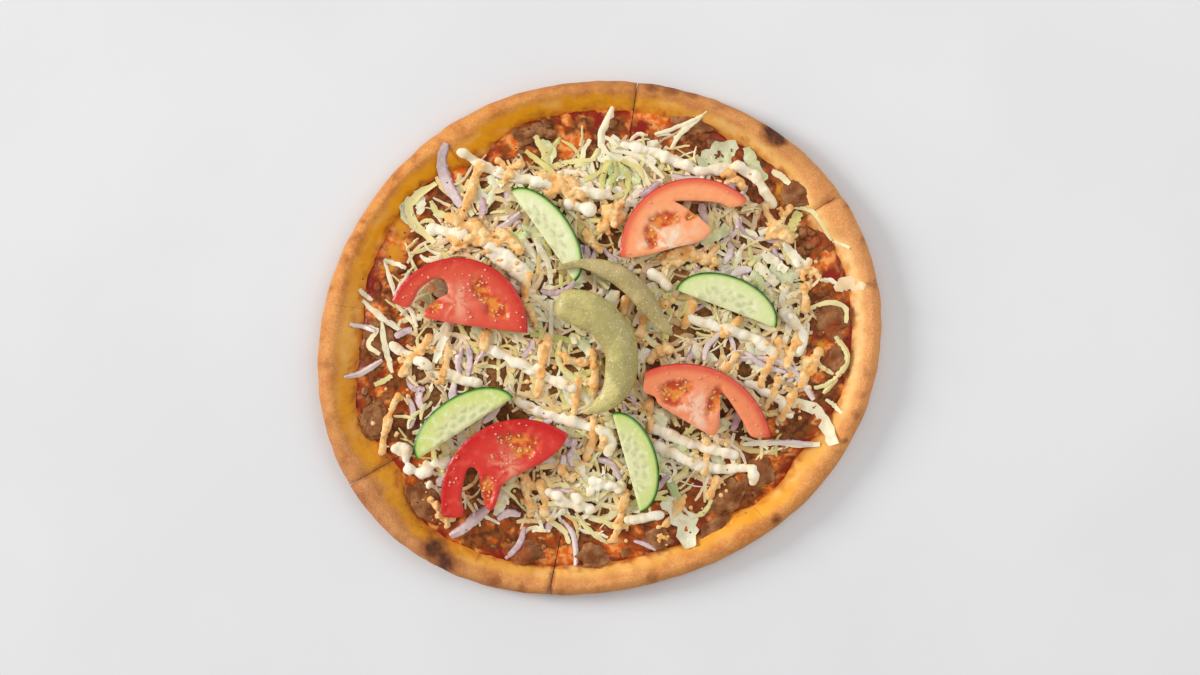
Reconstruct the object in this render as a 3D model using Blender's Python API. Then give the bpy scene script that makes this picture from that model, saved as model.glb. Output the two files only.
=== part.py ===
"""Kebab pizza cut in eight, under a heap of cabbage salad with tomato, cucumber and pickled pepper.

Lengths are millimetres and angles are degrees, anticlockwise from +X as seen from above. Each mesh
becomes metres when its object is made. Places on the pizza are given as they read off a view from
straight above, in picture points (across, down), and on_pizza turns them into millimetres.
"""
import math
import random

import bmesh
import bpy
from mathutils import Vector, noise
from mathutils.bvhtree import BVHTree
from mathutils.geometry import interpolate_bezier

METRES = 0.001
GAP = 0.3
CUT_TOLERANCE = 0.02
SLIVER = 0.002

# The view from above: its scale, and the point over the place where the cuts meet.
POINT_SIZE = 0.53
MIDDLE_POINT = (601, 338.5)

# Crust: an uneven round of EDGE_MEAN with low waves (times round, size, phase).
EDGE_MEAN = 144.0
EDGE_WAVES = ((1, 2.0, -173), (2, 8.4, 38), (3, 1.9, -37), (4, 0.7, 138))
CRUST_STEPS = 96
BASE_THICKNESS = 4.5
RIM_HEIGHT = 12.5
RIM_UNEVENNESS = 1.3
RIM_WIDTH = 16.5
RIM_WIDENINGS = ((30, 8, 7), (125, 8, 9), (180, 7, 14), (211, 11, 10), (305, 3, 9), (330, 4, 6))
CUTS = ((11.6, 0.5), (30.9, 1.0), (81.9, 1.2), (128.7, 0.8), (172.9, 0.5), (210.3, 1.0), (258.5, 1.2),
        (312.2, 0.6))

# The crust's section from the underside up and in: how far in from the edge and how high, then the
# shoulder below the top, the crest by its share of the rim's width, and the foot of the inner slope.
SIDE_PROFILE = ((3.5, 0), (0.8, 1.8), (0, 4.8))
SHOULDER = (1.6, 2.6)
CREST_PROFILE = ((0.34, 0), (0.60, 1.8))
SLOPE_FOOT = (0.86, 1.7)

# Sauce and cheese: one thin layer on the base, cut with it. Its edge rises by SAUCE_EDGE (in, up), it
# is lumpy at SAUCE_RINGS in from there and level from SAUCE_LEVEL on.
SAUCE_THICKNESS = 1.9
SAUCE_LUMPS = 0.5
SAUCE_EDGE = (0.5, 0.9)
SAUCE_RINGS = (3, 10)
SAUCE_LEVEL = 18

# Kebab meat that shows round the salad: place, length, width and turn. A piece is widest a little
# above its foot, and its top is drawn in.
KEBAB_THICKNESS = 3.0
KEBAB_STEPS = 10
KEBAB_UNEVENNESS = 0.3
KEBAB_FOOT_SHARE = 0.86
KEBAB_WIDEST_AT = 0.8
KEBAB_TOP_SHARE = 0.82
KEBAB_TOP_DROP = 0.5
KEBAB_CROWN = 0.4
KEBAB_PIECES = (((801, 192), 14, 12, 20), ((827, 240), 18, 11, 60), ((832, 318), 17, 13, 80),
                ((726, 500), 20, 12, 40), ((759, 476), 16, 12, 45), ((716, 528), 15, 8, 35),
                ((658, 541), 12, 9, 10), ((592, 557), 14, 9, 0), ((524, 553), 16, 10, -10),
                ((424, 503), 18, 12, -50), ((373, 420), 16, 11, 70), ((377, 338), 17, 12, 85),
                ((530, 132), 16, 8, 15), ((697, 121), 17, 10, -15), ((838, 362), 15, 11, 85))

# Salad: the reach of the dense heap from the middle, every 15 degrees.
HEAP_REACHES = (111, 113, 112, 112, 112, 107, 107, 100, 108, 112, 110, 108,
                107, 111, 116, 117, 107, 105, 101, 100, 95, 98, 107, 112)
HEAP_STEPS = 60
HEAP_RAGGEDNESS = 4
HEAP_EDGE_HEIGHT = 4.5
HEAP_HEIGHT = 10.0
HEAP_LUMPS = 1.3
HEAP_FOOT = (1.5, 2)
HEAP_RINGS = (0.97, 0.86, 0.7, 0.52, 0.34, 0.17)
DOME_POWER = 2.4

# Shreds, slivers and leaves in the salad, and the lines of sauce on it: half width, thickness, how
# deep the ends sink in, how high the middle lifts, how far the edges wave, and the top's share of
# the width.
SALAD_KINDS = {
    "shred": {"half": 1.4, "thick": 1.2, "sink": 1.0, "lift": 2.6, "wave": 0.15, "crown": 1},
    "sliver": {"half": 2.1, "thick": 1.6, "sink": 1.0, "lift": 2.6, "wave": 0.2, "crown": 1},
    "leaf": {"half": 4.5, "thick": 1.2, "sink": 1.0, "lift": 2.6, "wave": 1.2, "crown": 1},
    "white_sauce": {"half": 2.4, "thick": 4.0, "sink": 1.2, "lift": 0.8, "wave": 0.15, "crown": 0.5},
    "peach_sauce": {"half": 2.0, "thick": 3.2, "sink": 1.0, "lift": 0.8, "wave": 0.15, "crown": 0.5},
}
SHRED_COUNT = 40
SHRED_LENGTHS = (18, 40)
SHRED_HALVES = (1.1, 1.8)
SHRED_SEED = 12
STATION_SPACING = 7.5
ROUTE_STEPS = 12
END_SLIMMING = 0.55
WAVE_STEP = 1.9
CLEARANCE = 0.6
TOPPING_MARGIN = 1.2
LONG_SHREDS = (((435, 182), (409, 202), (410, 217), (434, 243)), ((600, 112), (604, 150), (615, 192)),
               ((622, 118), (618, 150), (617, 190)), ((534, 135), (545, 150), (549, 167)),
               ((537, 174), (561, 163), (596, 159)), ((707, 111), (682, 131), (671, 148)),
               ((801, 211), (795, 222), (786, 236)), ((784, 243), (796, 256), (808, 268)),
               ((763, 252), (775, 262), (787, 271)), ((790, 205), (815, 212), (833, 240)),
               ((809, 309), (832, 302), (847, 312), (847, 323)),
               ((837, 336), (849, 357), (839, 376), (825, 394)),
               ((794, 403), (815, 410), (827, 428), (834, 445)), ((361, 300), (376, 314), (401, 331)),
               ((381, 322), (383, 342), (391, 373)), ((377, 330), (367, 345), (379, 354)),
               ((383, 260), (391, 285), (409, 271)), ((343, 377), (359, 373), (385, 358)),
               ((575, 514), (590, 532), (608, 545)), ((547, 519), (564, 533), (569, 545)),
               ((535, 240), (548, 264), (551, 280)), ((743, 445), (768, 443), (815, 445)))
ONION_SLIVERS = (((446, 143), (442, 161), (446, 181), (462, 207)), ((481, 197), (483, 207), (481, 219)),
                 ((496, 229), (508, 222), (520, 213)), ((640, 196), (650, 190), (659, 182)),
                 ((730, 240), (731, 252), (724, 264)), ((462, 348), (458, 360), (459, 374)),
                 ((720, 333), (707, 347), (704, 360)), ((740, 358), (774, 360), (794, 371), (812, 396)),
                 ((449, 537), (465, 527), (487, 509)), ((524, 528), (519, 545), (505, 558)),
                 ((562, 521), (573, 536), (576, 563)), ((598, 459), (613, 465), (620, 479)),
                 ((603, 247), (608, 254), (615, 262)))
LEAVES = (((696, 165), (718, 149), (738, 141)), ((747, 144), (752, 166), (766, 179)),
          ((664, 498), (682, 515), (692, 545)), ((404, 196), (400, 216), (412, 232)))
WHITE_SAUCE = (((460, 152), (497, 172), (545, 183), (607, 195)),
               ((625, 144), (665, 156), (703, 170), (738, 166), (773, 203)),
               ((432, 229), (446, 231), (460, 233)),
               ((486, 245), (508, 257), (530, 273)), ((391, 346), (409, 356), (427, 365)),
               ((448, 374), (463, 380), (478, 383)), ((490, 349), (528, 368), (569, 387)),
               ((517, 399), (556, 418), (580, 423), (608, 433)), ((692, 319), (732, 331), (770, 350)),
               ((783, 313), (803, 330), (799, 350)), ((748, 383), (778, 398), (791, 416)),
               ((656, 429), (698, 446), (735, 455)), ((654, 446), (691, 462), (753, 469)),
               ((594, 481), (608, 485), (622, 486)), ((547, 495), (568, 500), (590, 508)),
               ((398, 452), (415, 468), (445, 464)))
PEACH_SAUCE = (((480, 167), (470, 195), (460, 220)), ((450, 232), (474, 228), (497, 240)),
               ((543, 178), (562, 190), (581, 198)), ((600, 222), (614, 215), (622, 203)),
               ((765, 208), (778, 222), (790, 238)), ((661, 250), (690, 262), (717, 256)),
               ((429, 338), (414, 356), (401, 373)), ((448, 350), (446, 366), (442, 381)),
               ((397, 396), (387, 419), (381, 451)), ((530, 276), (525, 298), (535, 319)),
               ((548, 340), (543, 366), (538, 394)), ((578, 379), (576, 392), (575, 410)),
               ((693, 304), (689, 314), (685, 324)), ((740, 319), (732, 326), (724, 333)),
               ((780, 340), (771, 363), (759, 387)), ((799, 328), (794, 347), (788, 366)),
               ((796, 390), (789, 404), (782, 418)), ((593, 425), (593, 440), (588, 457)),
               ((649, 410), (649, 422), (649, 435)), ((717, 479), (714, 488), (710, 497)),
               ((627, 492), (621, 515), (615, 539)), ((685, 497), (677, 511), (668, 524)),
               ((525, 485), (528, 500), (529, 515)), ((438, 480), (436, 500), (446, 518)),
               ((730, 172), (738, 178), (744, 186)), ((655, 545), (661, 541), (664, 550)))

# Slices of tomato and cucumber lean outwards by this much, as the heap falls.
SLICE_LEAN = 3

# Tomato half slices: each an arc of skin, then its inner edge from the arc's end back to its start.
TOMATO_THICKNESS = 6.0
TOMATO_SKIN_STEPS = 12
TOMATOES = (
    {"arc": ((528, 333), (467, 259), (393, 302)),
     "inner": ((407, 308), (413, 303), (420, 290), (431, 281), (441, 278), (448, 284), (449, 294),
               (441, 298), (429, 307), (426, 314), (431, 319), (478, 327))},
    {"arc": ((745, 199), (668, 184), (620, 258)),
     "inner": ((634, 258), (654, 254), (675, 248), (697, 243), (708, 236), (709, 229), (699, 219),
               (682, 207), (675, 202), (703, 202), (719, 204), (730, 208), (743, 205))},
    {"arc": ((569, 434), (495, 423), (444, 516)),
     "inner": ((463, 515), (462, 498), (464, 483), (468, 469), (474, 466), (480, 473), (481, 484),
               (485, 501), (488, 508), (494, 508), (499, 496), (502, 486), (514, 476), (528, 469),
               (542, 462), (560, 448))},
    {"arc": ((770, 436), (728, 376), (645, 371)),
     "inner": ((643, 390), (654, 396), (660, 405), (686, 421), (707, 433), (714, 434), (718, 424),
               (719, 405), (720, 392), (726, 397), (733, 407), (742, 421), (751, 436))})

# Cucumber half slices: the two ends of the flat side, and how far the skin bows out from it.
CUCUMBER_THICKNESS = 4.5
CUCUMBER_STEPS = 14
CUCUMBERS = (((511, 191), (575, 282), 15.5), ((675, 290), (775, 328), 17.5), ((418, 459), (514, 397), 17.5),
             ((612, 412), (640, 512), 16.5))

# Pickled peppers: the middle line, with the half width at each place.
PEPPER_FLATNESS = 0.62
PEPPER_SIDES = 10
PEPPER_STEPS = 3
PEPPERS = (
    (((556, 305), 7.0), ((578, 308), 9.5), ((598, 317), 9.5), ((613, 333), 9.2), ((621, 352), 8.6),
     ((620, 379), 8.0), ((608, 399), 5.8), ((588, 412), 2.6)),
    (((557, 270), 2.0), ((580, 265), 2.6), ((599, 268), 4.6), ((617, 276), 5.8), ((634, 288), 6.2),
     ((650, 307), 6.0), ((663, 325), 4.2), ((672, 335), 1.8)))

COLOURS = {
    "baked_crust": ((0.70, 0.36, 0.13), 0.75),
    "sauce_and_cheese": ((0.50, 0.13, 0.03), 0.45),
    "kebab_meat": ((0.16, 0.06, 0.025), 0.60),
    "cabbage_salad": ((0.74, 0.66, 0.42), 0.50),
    "tomato_flesh": ((0.72, 0.07, 0.03), 0.30),
    "cucumber_flesh": ((0.50, 0.63, 0.26), 0.35),
    "pickled_pepper": ((0.40, 0.38, 0.12), 0.30),
}


def on_pizza(point):
    """Turn a point of the view from above into millimetres from the middle."""
    return ((point[0] - MIDDLE_POINT[0]) * POINT_SIZE, (MIDDLE_POINT[1] - point[1]) * POINT_SIZE)


def edge_radius(angle):
    waves = (size * math.cos(math.radians(count * angle - phase)) for count, size, phase in EDGE_WAVES)
    return EDGE_MEAN + sum(waves)


def rim_width(angle):
    width = RIM_WIDTH
    for place, extra, spread in RIM_WIDENINGS:
        apart = (angle - place + 180) % 360 - 180
        width += extra * math.exp(-(apart / spread) ** 2)
    return width


def outline_middle():
    """The middle of the crust's box, which becomes the origin."""
    points = [(edge_radius(a) * math.cos(math.radians(a)), edge_radius(a) * math.sin(math.radians(a)))
              for a in range(360)]
    across = [p[0] for p in points]
    along = [p[1] for p in points]
    return Vector(((min(across) + max(across)) / 2, (min(along) + max(along)) / 2, 0))


def clear_scene():
    for old in list(bpy.data.objects):
        bpy.data.objects.remove(old, do_unlink=True)


def material(name):
    colour, roughness = COLOURS[name]
    made = bpy.data.materials.get(name)
    if made is None:
        made = bpy.data.materials.new(name)
        made.use_nodes = True
        shader = made.node_tree.nodes["Principled BSDF"]
        shader.inputs["Base Color"].default_value = (*colour, 1)
        shader.inputs["Roughness"].default_value = roughness
        shader.inputs["Metallic"].default_value = 0
        made.diffuse_color = (*colour, 1)
    return made


def add_object(name, body, look, sharp=40):
    """Close a mesh of millimetres as an object in metres, round the middle of the crust."""
    bmesh.ops.triangulate(body, faces=body.faces[:])
    bmesh.ops.recalc_face_normals(body, faces=body.faces[:])
    bmesh.ops.translate(body, verts=body.verts[:], vec=-outline_middle())
    bmesh.ops.scale(body, verts=body.verts[:], vec=(METRES, METRES, METRES))
    mesh = bpy.data.meshes.new(name)
    body.to_mesh(mesh)
    body.free()
    mesh.shade_smooth()
    mesh.set_sharp_from_angle(angle=math.radians(sharp))
    mesh.materials.append(material(look))
    made = bpy.data.objects.new(name, mesh)
    bpy.context.collection.objects.link(made)
    return made


def shaped_disc(section, steps, peak=None):
    """Make a closed disc round the middle. section(angle) gives its rings' radius and height, going up."""
    body = bmesh.new()
    bmesh.ops.create_circle(body, cap_ends=True, cap_tris=True, segments=steps, radius=1)
    pole = next(v for v in body.verts if not v.is_boundary)
    edges = [e for e in body.edges if e.is_boundary]
    for level in range(len(section(0))):
        if level:
            grown = bmesh.ops.extrude_edge_only(body, edges=edges)["geom"]
            edges = [g for g in grown if isinstance(g, bmesh.types.BMEdge) and g.is_boundary]
        for vert in {v for e in edges for v in e.verts}:
            turn = math.atan2(vert.co.y, vert.co.x)
            radius, height = section(math.degrees(turn) % 360)[level]
            vert.co = (radius * math.cos(turn), radius * math.sin(turn), height)
        if level == 0:
            pole.co.z = section(0)[0][1]
    grown = bmesh.ops.extrude_edge_only(body, edges=edges)["geom"]
    last = [g for g in grown if isinstance(g, bmesh.types.BMVert)]
    height = section(0)[-1][1] if peak is None else peak
    bmesh.ops.pointmerge(body, verts=last, merge_co=(0, 0, height))
    return body


def cut_wedge(whole, start, end):
    """Copy what lies between two straight cuts through the middle, each (angle, width)."""
    wedge = whole.copy()
    for (angle, width), side in ((start, 1), (end, -1)):
        turn = math.radians(angle)
        inward = Vector((-math.sin(turn), math.cos(turn), 0)) * side
        everything = wedge.verts[:] + wedge.edges[:] + wedge.faces[:]
        bmesh.ops.bisect_plane(wedge, geom=everything, dist=CUT_TOLERANCE,
                               plane_co=inward * width / 2, plane_no=inward, clear_inner=True)
        bmesh.ops.holes_fill(wedge, edges=[e for e in wedge.edges if e.is_boundary], sides=0)
    return wedge


def slices():
    """The cuts on either side of each slice, numbered anticlockwise from the first cut."""
    return [(number, CUTS[number - 1], CUTS[number % len(CUTS)]) for number in range(1, len(CUTS) + 1)]


def crust_section(angle):
    edge, rim = edge_radius(angle), rim_width(angle)
    turn = math.radians(angle)
    lump = noise.noise(Vector((3 * math.cos(turn), 3 * math.sin(turn), 0)))
    finer = noise.noise(Vector((9 * math.cos(turn), 9 * math.sin(turn), 5)))
    top = RIM_HEIGHT + RIM_UNEVENNESS * (lump + 0.5 * finer)
    side = [(edge - inset, height) for inset, height in SIDE_PROFILE]
    shoulder = [(edge - SHOULDER[0], top - SHOULDER[1])]
    crest = [(edge - share * rim, top - below) for share, below in CREST_PROFILE]
    slope = [(edge - SLOPE_FOOT[0] * rim, BASE_THICKNESS + SLOPE_FOOT[1]), (edge - rim, BASE_THICKNESS)]
    return side + shoulder + crest + slope


def sauce_height(angle, inset):
    """How thick the sauce and cheese lie, in soft lumps near the rim and level under the salad."""
    turn = math.radians(angle)
    spot = Vector((5 * math.cos(turn), 5 * math.sin(turn), inset))
    return SAUCE_THICKNESS + SAUCE_LUMPS * noise.noise(spot)


def sauce_section(angle):
    reach = edge_radius(angle) - rim_width(angle) - 2 * GAP
    bottom = BASE_THICKNESS + GAP
    rings = [(reach, bottom), (reach - SAUCE_EDGE[0], bottom + SAUCE_EDGE[1])]
    rings += [(reach - inset, bottom + sauce_height(angle, inset)) for inset in SAUCE_RINGS]
    return rings + [(reach - SAUCE_LEVEL, bottom + SAUCE_THICKNESS)]


def add_layers():
    """The crust and the sauce and cheese on it, each cut in eight."""
    layers = (("crust", shaped_disc(crust_section, CRUST_STEPS), "baked_crust"),
              ("sauce_cheese", shaped_disc(sauce_section, CRUST_STEPS), "sauce_and_cheese"))
    made = []
    for name, whole, look in layers:
        for number, start, end in slices():
            made.append(add_object(f"{name}_{number}", cut_wedge(whole, start, end), look))
        whole.free()
    return made


def surface_of(objects):
    """Give a function that finds the highest solid under a place, in millimetres."""
    corners, faces = [], []
    for item in objects:
        first = len(corners)
        corners += [v.co / METRES + outline_middle() for v in item.data.vertices]
        faces += [[first + index for index in face.vertices] for face in item.data.polygons]
    tree = BVHTree.FromPolygons(corners, faces)

    def height(x, y):
        hit = tree.ray_cast(Vector((x, y, 100)), Vector((0, 0, -1)))[0]
        return BASE_THICKNESS + GAP if hit is None else hit.z
    return height


def add_kebab(ground):
    made = []
    for number, (place, length, width, turn) in enumerate(KEBAB_PIECES, 1):
        x, y = on_pizza(place)
        below = max(ground(x + length / 2 * math.cos(a), y + length / 2 * math.sin(a)) for a in range(7))

        def section(angle):
            spot = Vector((2 * math.cos(math.radians(angle)), 2 * math.sin(math.radians(angle)), number))
            radius = 1 + KEBAB_UNEVENNESS * noise.noise(spot)
            top = KEBAB_THICKNESS * (1 + KEBAB_UNEVENNESS * noise.noise(spot * 2))
            return [(KEBAB_FOOT_SHARE * radius, 0), (radius, KEBAB_WIDEST_AT),
                    (KEBAB_TOP_SHARE * radius, top - KEBAB_TOP_DROP)]

        body = shaped_disc(section, KEBAB_STEPS, peak=KEBAB_THICKNESS + KEBAB_CROWN)
        bmesh.ops.scale(body, verts=body.verts[:], vec=(length / 2, width / 2, 1))
        cosine, sine = math.cos(math.radians(turn)), math.sin(math.radians(turn))
        for vert in body.verts:
            across, along = vert.co.x, vert.co.y
            vert.co.x = x + across * cosine - along * sine
            vert.co.y = y + across * sine + along * cosine
            vert.co.z += below + GAP
        made.append(add_object(f"kebab_{number}", body, "kebab_meat"))
    return made


def heap_reach(angle):
    """The salad's reach at an angle, read smoothly between the measured ones, with a ragged edge."""
    step = 360 / len(HEAP_REACHES)
    place = angle / step
    first = int(place) % len(HEAP_REACHES)
    share = (1 - math.cos(math.pi * (place - int(place)))) / 2
    following = HEAP_REACHES[(first + 1) % len(HEAP_REACHES)]
    smooth = HEAP_REACHES[first] * (1 - share) + following * share
    turn = math.radians(angle)
    ragged = noise.noise(Vector((7 * math.cos(turn), 7 * math.sin(turn), 11)))
    return smooth + HEAP_RAGGEDNESS * (ragged - 1)


def heap_section(angle):
    reach = heap_reach(angle)
    turn = math.radians(angle)
    bottom = BASE_THICKNESS + 2 * GAP + SAUCE_THICKNESS + SAUCE_LUMPS * 0.6

    def ring(share):
        x, y = share * reach * math.cos(turn), share * reach * math.sin(turn)
        dome = HEAP_EDGE_HEIGHT + (HEAP_HEIGHT - HEAP_EDGE_HEIGHT) * (1 - share ** DOME_POWER)
        return (share * reach, bottom + dome + HEAP_LUMPS * noise.noise(Vector((x / 13, y / 13, 3))))

    foot = [(reach - HEAP_FOOT[0], bottom), (reach, bottom + HEAP_FOOT[1])]
    return foot + [ring(share) for share in HEAP_RINGS]


def slab(outline, thickness, ground):
    """Lay a flat slice of this outline on the heap, leaning a little outwards, just clear of it."""
    body = bmesh.new()
    bmesh.ops.create_circle(body, cap_ends=True, segments=len(outline), radius=1)
    base = body.faces[:][0]
    for vert, (x, y) in zip(base.verts, outline):
        vert.co = (x, y, 0)
    raised = bmesh.ops.extrude_face_region(body, geom=[base])["geom"]
    bmesh.ops.translate(body, verts=[g for g in raised if isinstance(g, bmesh.types.BMVert)],
                        vec=(0, 0, thickness))
    middle = sum((Vector((x, y)) for x, y in outline), Vector((0, 0))) / len(outline)
    outward = middle.normalized()
    fall = math.tan(math.radians(SLICE_LEAN))

    def drop(x, y):
        return -fall * ((x - middle.x) * outward.x + (y - middle.y) * outward.y)

    spots = [(x + share * (middle.x - x), y + share * (middle.y - y))
             for x, y in outline for share in (-0.05, 0.1, 0.3, 0.5, 0.8)]
    lowest = max(ground(x, y) - drop(x, y) for x, y in spots) + GAP
    for vert in body.verts:
        vert.co.z += lowest + drop(vert.co.x, vert.co.y)
    return body


def arc_through(first, middle, last, steps):
    """Points on the circle through three places, from the first to the last, anticlockwise."""
    (ax, ay), (bx, by), (cx, cy) = first, middle, last
    twice = 2 * (ax * (by - cy) + bx * (cy - ay) + cx * (ay - by))
    squares = [x * x + y * y for x, y in (first, middle, last)]
    x = (squares[0] * (by - cy) + squares[1] * (cy - ay) + squares[2] * (ay - by)) / twice
    y = (squares[0] * (cx - bx) + squares[1] * (ax - cx) + squares[2] * (bx - ax)) / twice
    radius = math.hypot(ax - x, ay - y)
    start = math.atan2(ay - y, ax - x)
    sweep = (math.atan2(cy - y, cx - x) - start) % (2 * math.pi)
    turns = [start + sweep * step / steps for step in range(steps + 1)]
    return [(x + radius * math.cos(turn), y + radius * math.sin(turn)) for turn in turns]


def tomato_outline(shape):
    skin = arc_through(*(on_pizza(p) for p in shape["arc"]), TOMATO_SKIN_STEPS)
    return skin + [on_pizza(p) for p in shape["inner"]]


def cucumber_outline(shape):
    """Half an ellipse: the flat side from one end to the other, and the skin bowing out from it."""
    start, end = Vector(on_pizza(shape[0])), Vector(on_pizza(shape[1]))
    half = (end - start) / 2
    out = Vector((-half.y, half.x)).normalized() * shape[2]
    turns = [math.pi * step / CUCUMBER_STEPS for step in range(CUCUMBER_STEPS + 1)]
    return [tuple((start + end) / 2 + half * math.cos(t) + out * math.sin(t)) for t in turns]


def smooth_route(points, steps):
    """Read a smooth curve through a few places, as evenly many steps between each two."""
    ends = [points[0] * 2 - points[1]] + list(points) + [points[-1] * 2 - points[-2]]
    route = []
    for before, start, end, after in zip(ends, ends[1:], ends[2:], ends[3:]):
        handles = (start + (end - before) / 6, end - (after - start) / 6)
        route += interpolate_bezier(start, *handles, end, steps + 1)[:-1]
    return route + [points[-1]]


def swept(route, corners):
    """Run a section along a route. corners(step) gives its corner places across and up from the route."""
    body = bmesh.new()
    bmesh.ops.create_circle(body, cap_ends=True, segments=len(corners(0)), radius=1)
    face = body.faces[:][0]
    for step, place in enumerate(route):
        ahead = route[min(step + 1, len(route) - 1)] - route[max(step - 1, 0)]
        across = Vector((-ahead.y, ahead.x, 0)).normalized()
        if step:
            grown = bmesh.ops.extrude_face_region(body, geom=[face])["geom"]
            if step > 1:
                bmesh.ops.delete(body, geom=[face], context="FACES_ONLY")
            face = next(g for g in grown if isinstance(g, bmesh.types.BMFace))
        for vert, (side, up) in zip(face.verts, corners(step)):
            vert.co = place + across * side + Vector((0, 0, up))
    return body


def add_pepper(number, shape, ground):
    points = [Vector((*on_pizza(place), 0)) for place, _ in shape]
    widths = [Vector((width, 0, 0)) for _, width in shape]
    route = smooth_route(points, PEPPER_STEPS)
    halves = [w.x for w in smooth_route(widths, PEPPER_STEPS)]
    needed = []
    for step, (place, half) in enumerate(zip(route, halves)):
        ahead = route[min(step + 1, len(route) - 1)] - route[max(step - 1, 0)]
        across = Vector((-ahead.y, ahead.x, 0)).normalized()
        shares = (-1, -0.8, -0.5, 0, 0.5, 0.8, 1)
        spots = [(place + across * half * s, PEPPER_FLATNESS * half * math.sqrt(1 - s * s)) for s in shares]
        needed.append(max(ground(spot.x, spot.y) + depth for spot, depth in spots))
    reach = 2
    high = [max(needed[max(0, i - reach):i + reach + 1]) for i in range(len(needed))]
    for step, place in enumerate(route):
        near = high[max(0, step - reach):step + reach + 1]
        place.z = sum(near) / len(near) + 2 * GAP

    def corners(step):
        turns = [2 * math.pi * side / PEPPER_SIDES for side in range(PEPPER_SIDES)]
        return [(halves[step] * math.cos(t), PEPPER_FLATNESS * halves[step] * math.sin(t)) for t in turns]

    return add_object(f"pepper_{number}", swept(route, corners), "pickled_pepper", sharp=60)


def inside(x, y, outline):
    """Whether a place lies inside a closed outline."""
    found = False
    for (ax, ay), (bx, by) in zip(outline, outline[1:] + outline[:1]):
        if (ay > y) != (by > y) and x < (bx - ax) * (y - ay) / (by - ay) + ax:
            found = not found
    return found


def covered(x, y, toppings, margin):
    """Whether a topping lies over a place or close beside it."""
    turns = [math.pi / 4 * step for step in range(8)]
    spots = [(x, y)] + [(x + margin * math.cos(t), y + margin * math.sin(t)) for t in turns]
    return any(inside(*spot, outline) for spot in spots for outline in toppings)


def pepper_outline(shape):
    points = smooth_route([Vector((*on_pizza(place), 0)) for place, _ in shape], PEPPER_STEPS)
    halves = [w.x for w in smooth_route([Vector((width, 0, 0)) for _, width in shape], PEPPER_STEPS)]
    sides = [[], []]
    for step, place in enumerate(points):
        ahead = points[min(step + 1, len(points) - 1)] - points[max(step - 1, 0)]
        across = Vector((-ahead.y, ahead.x, 0)).normalized() * halves[step]
        sides[0].append((place.x + across.x, place.y + across.y))
        sides[1].append((place.x - across.x, place.y - across.y))
    return sides[0] + sides[1][::-1]


def clear_runs(route, toppings, half):
    """The stretches of a route that no topping lies over, as a few even stations each."""
    runs, run = [], []
    for place in route:
        if covered(place.x, place.y, toppings, half + TOPPING_MARGIN):
            runs.append(run)
            run = []
        else:
            run.append(place)
    runs.append(run)
    for run in runs:
        length = sum((b - a).length for a, b in zip(run, run[1:]))
        if length > STATION_SPACING:
            count = max(2, round(length / STATION_SPACING))
            yield [run[round(step * (len(run) - 1) / count)].copy() for step in range(count + 1)]


def salad_piece(run, kind, heap, ground, draw):
    """Lay one shred, sliver, leaf or line of sauce along a run of places, over heap and ground alike."""
    half, thick, sink = kind["half"], kind["thick"], kind["sink"]
    lift = draw.uniform(0.6, 1) * kind["lift"]
    for step, place in enumerate(run):
        rise = lift * math.sin(math.pi * step / (len(run) - 1))
        around = [(place.x + dx, place.y + dy) for dx in (-half, 0, half) for dy in (-half, 0, half)]
        floor = max(ground(*spot) for spot in around) + thick / 2 + CLEARANCE
        place.z = max(floor, heap(place.x, place.y) + thick / 2 - sink) + rise
    crown = half * kind["crown"]
    ring = [(-half, -thick / 2), (half, -thick / 2), (crown, thick / 2), (-crown, thick / 2)]

    def corners(step):
        slim = END_SLIMMING if step in (0, len(run) - 1) else 1
        wave = kind["wave"] * math.sin(step * WAVE_STEP)
        return [(side * slim, up + wave * side / half) for side, up in ring]

    return swept(run, corners)


def drawn_shreds(draw):
    """Short curved routes strewn evenly over the heap and a little past its edge."""
    golden = math.pi * (3 - math.sqrt(5))
    for number in range(SHRED_COUNT):
        far = math.sqrt((number + 0.5) / SHRED_COUNT)
        turn = number * golden
        reach = far * (heap_reach(math.degrees(turn) % 360) - 2)
        middle = Vector((reach * math.cos(turn), reach * math.sin(turn), 0))
        along = draw.uniform(0, math.pi)
        length = draw.uniform(*SHRED_LENGTHS)
        ahead = Vector((math.cos(along), math.sin(along), 0)) * length / 2
        bow = Vector((-ahead.y, ahead.x, 0)) * draw.uniform(-0.5, 0.5)
        yield [middle - ahead, middle + bow, middle + ahead], draw.uniform(*SHRED_HALVES)


def largest_body(body):
    """Drop loose scraps and fill sealed hollows: only the largest closed skin stays."""
    left = set(body.verts)
    skins = []
    while left:
        front = [left.pop()]
        skin = set(front)
        while front:
            for edge in front.pop().link_edges:
                for vert in edge.verts:
                    if vert in left:
                        left.discard(vert)
                        skin.add(vert)
                        front.append(vert)
        skins.append(skin)
    keep = max(skins, key=len)
    bmesh.ops.delete(body, geom=[v for v in body.verts if v not in keep], context="VERTS")


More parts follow.
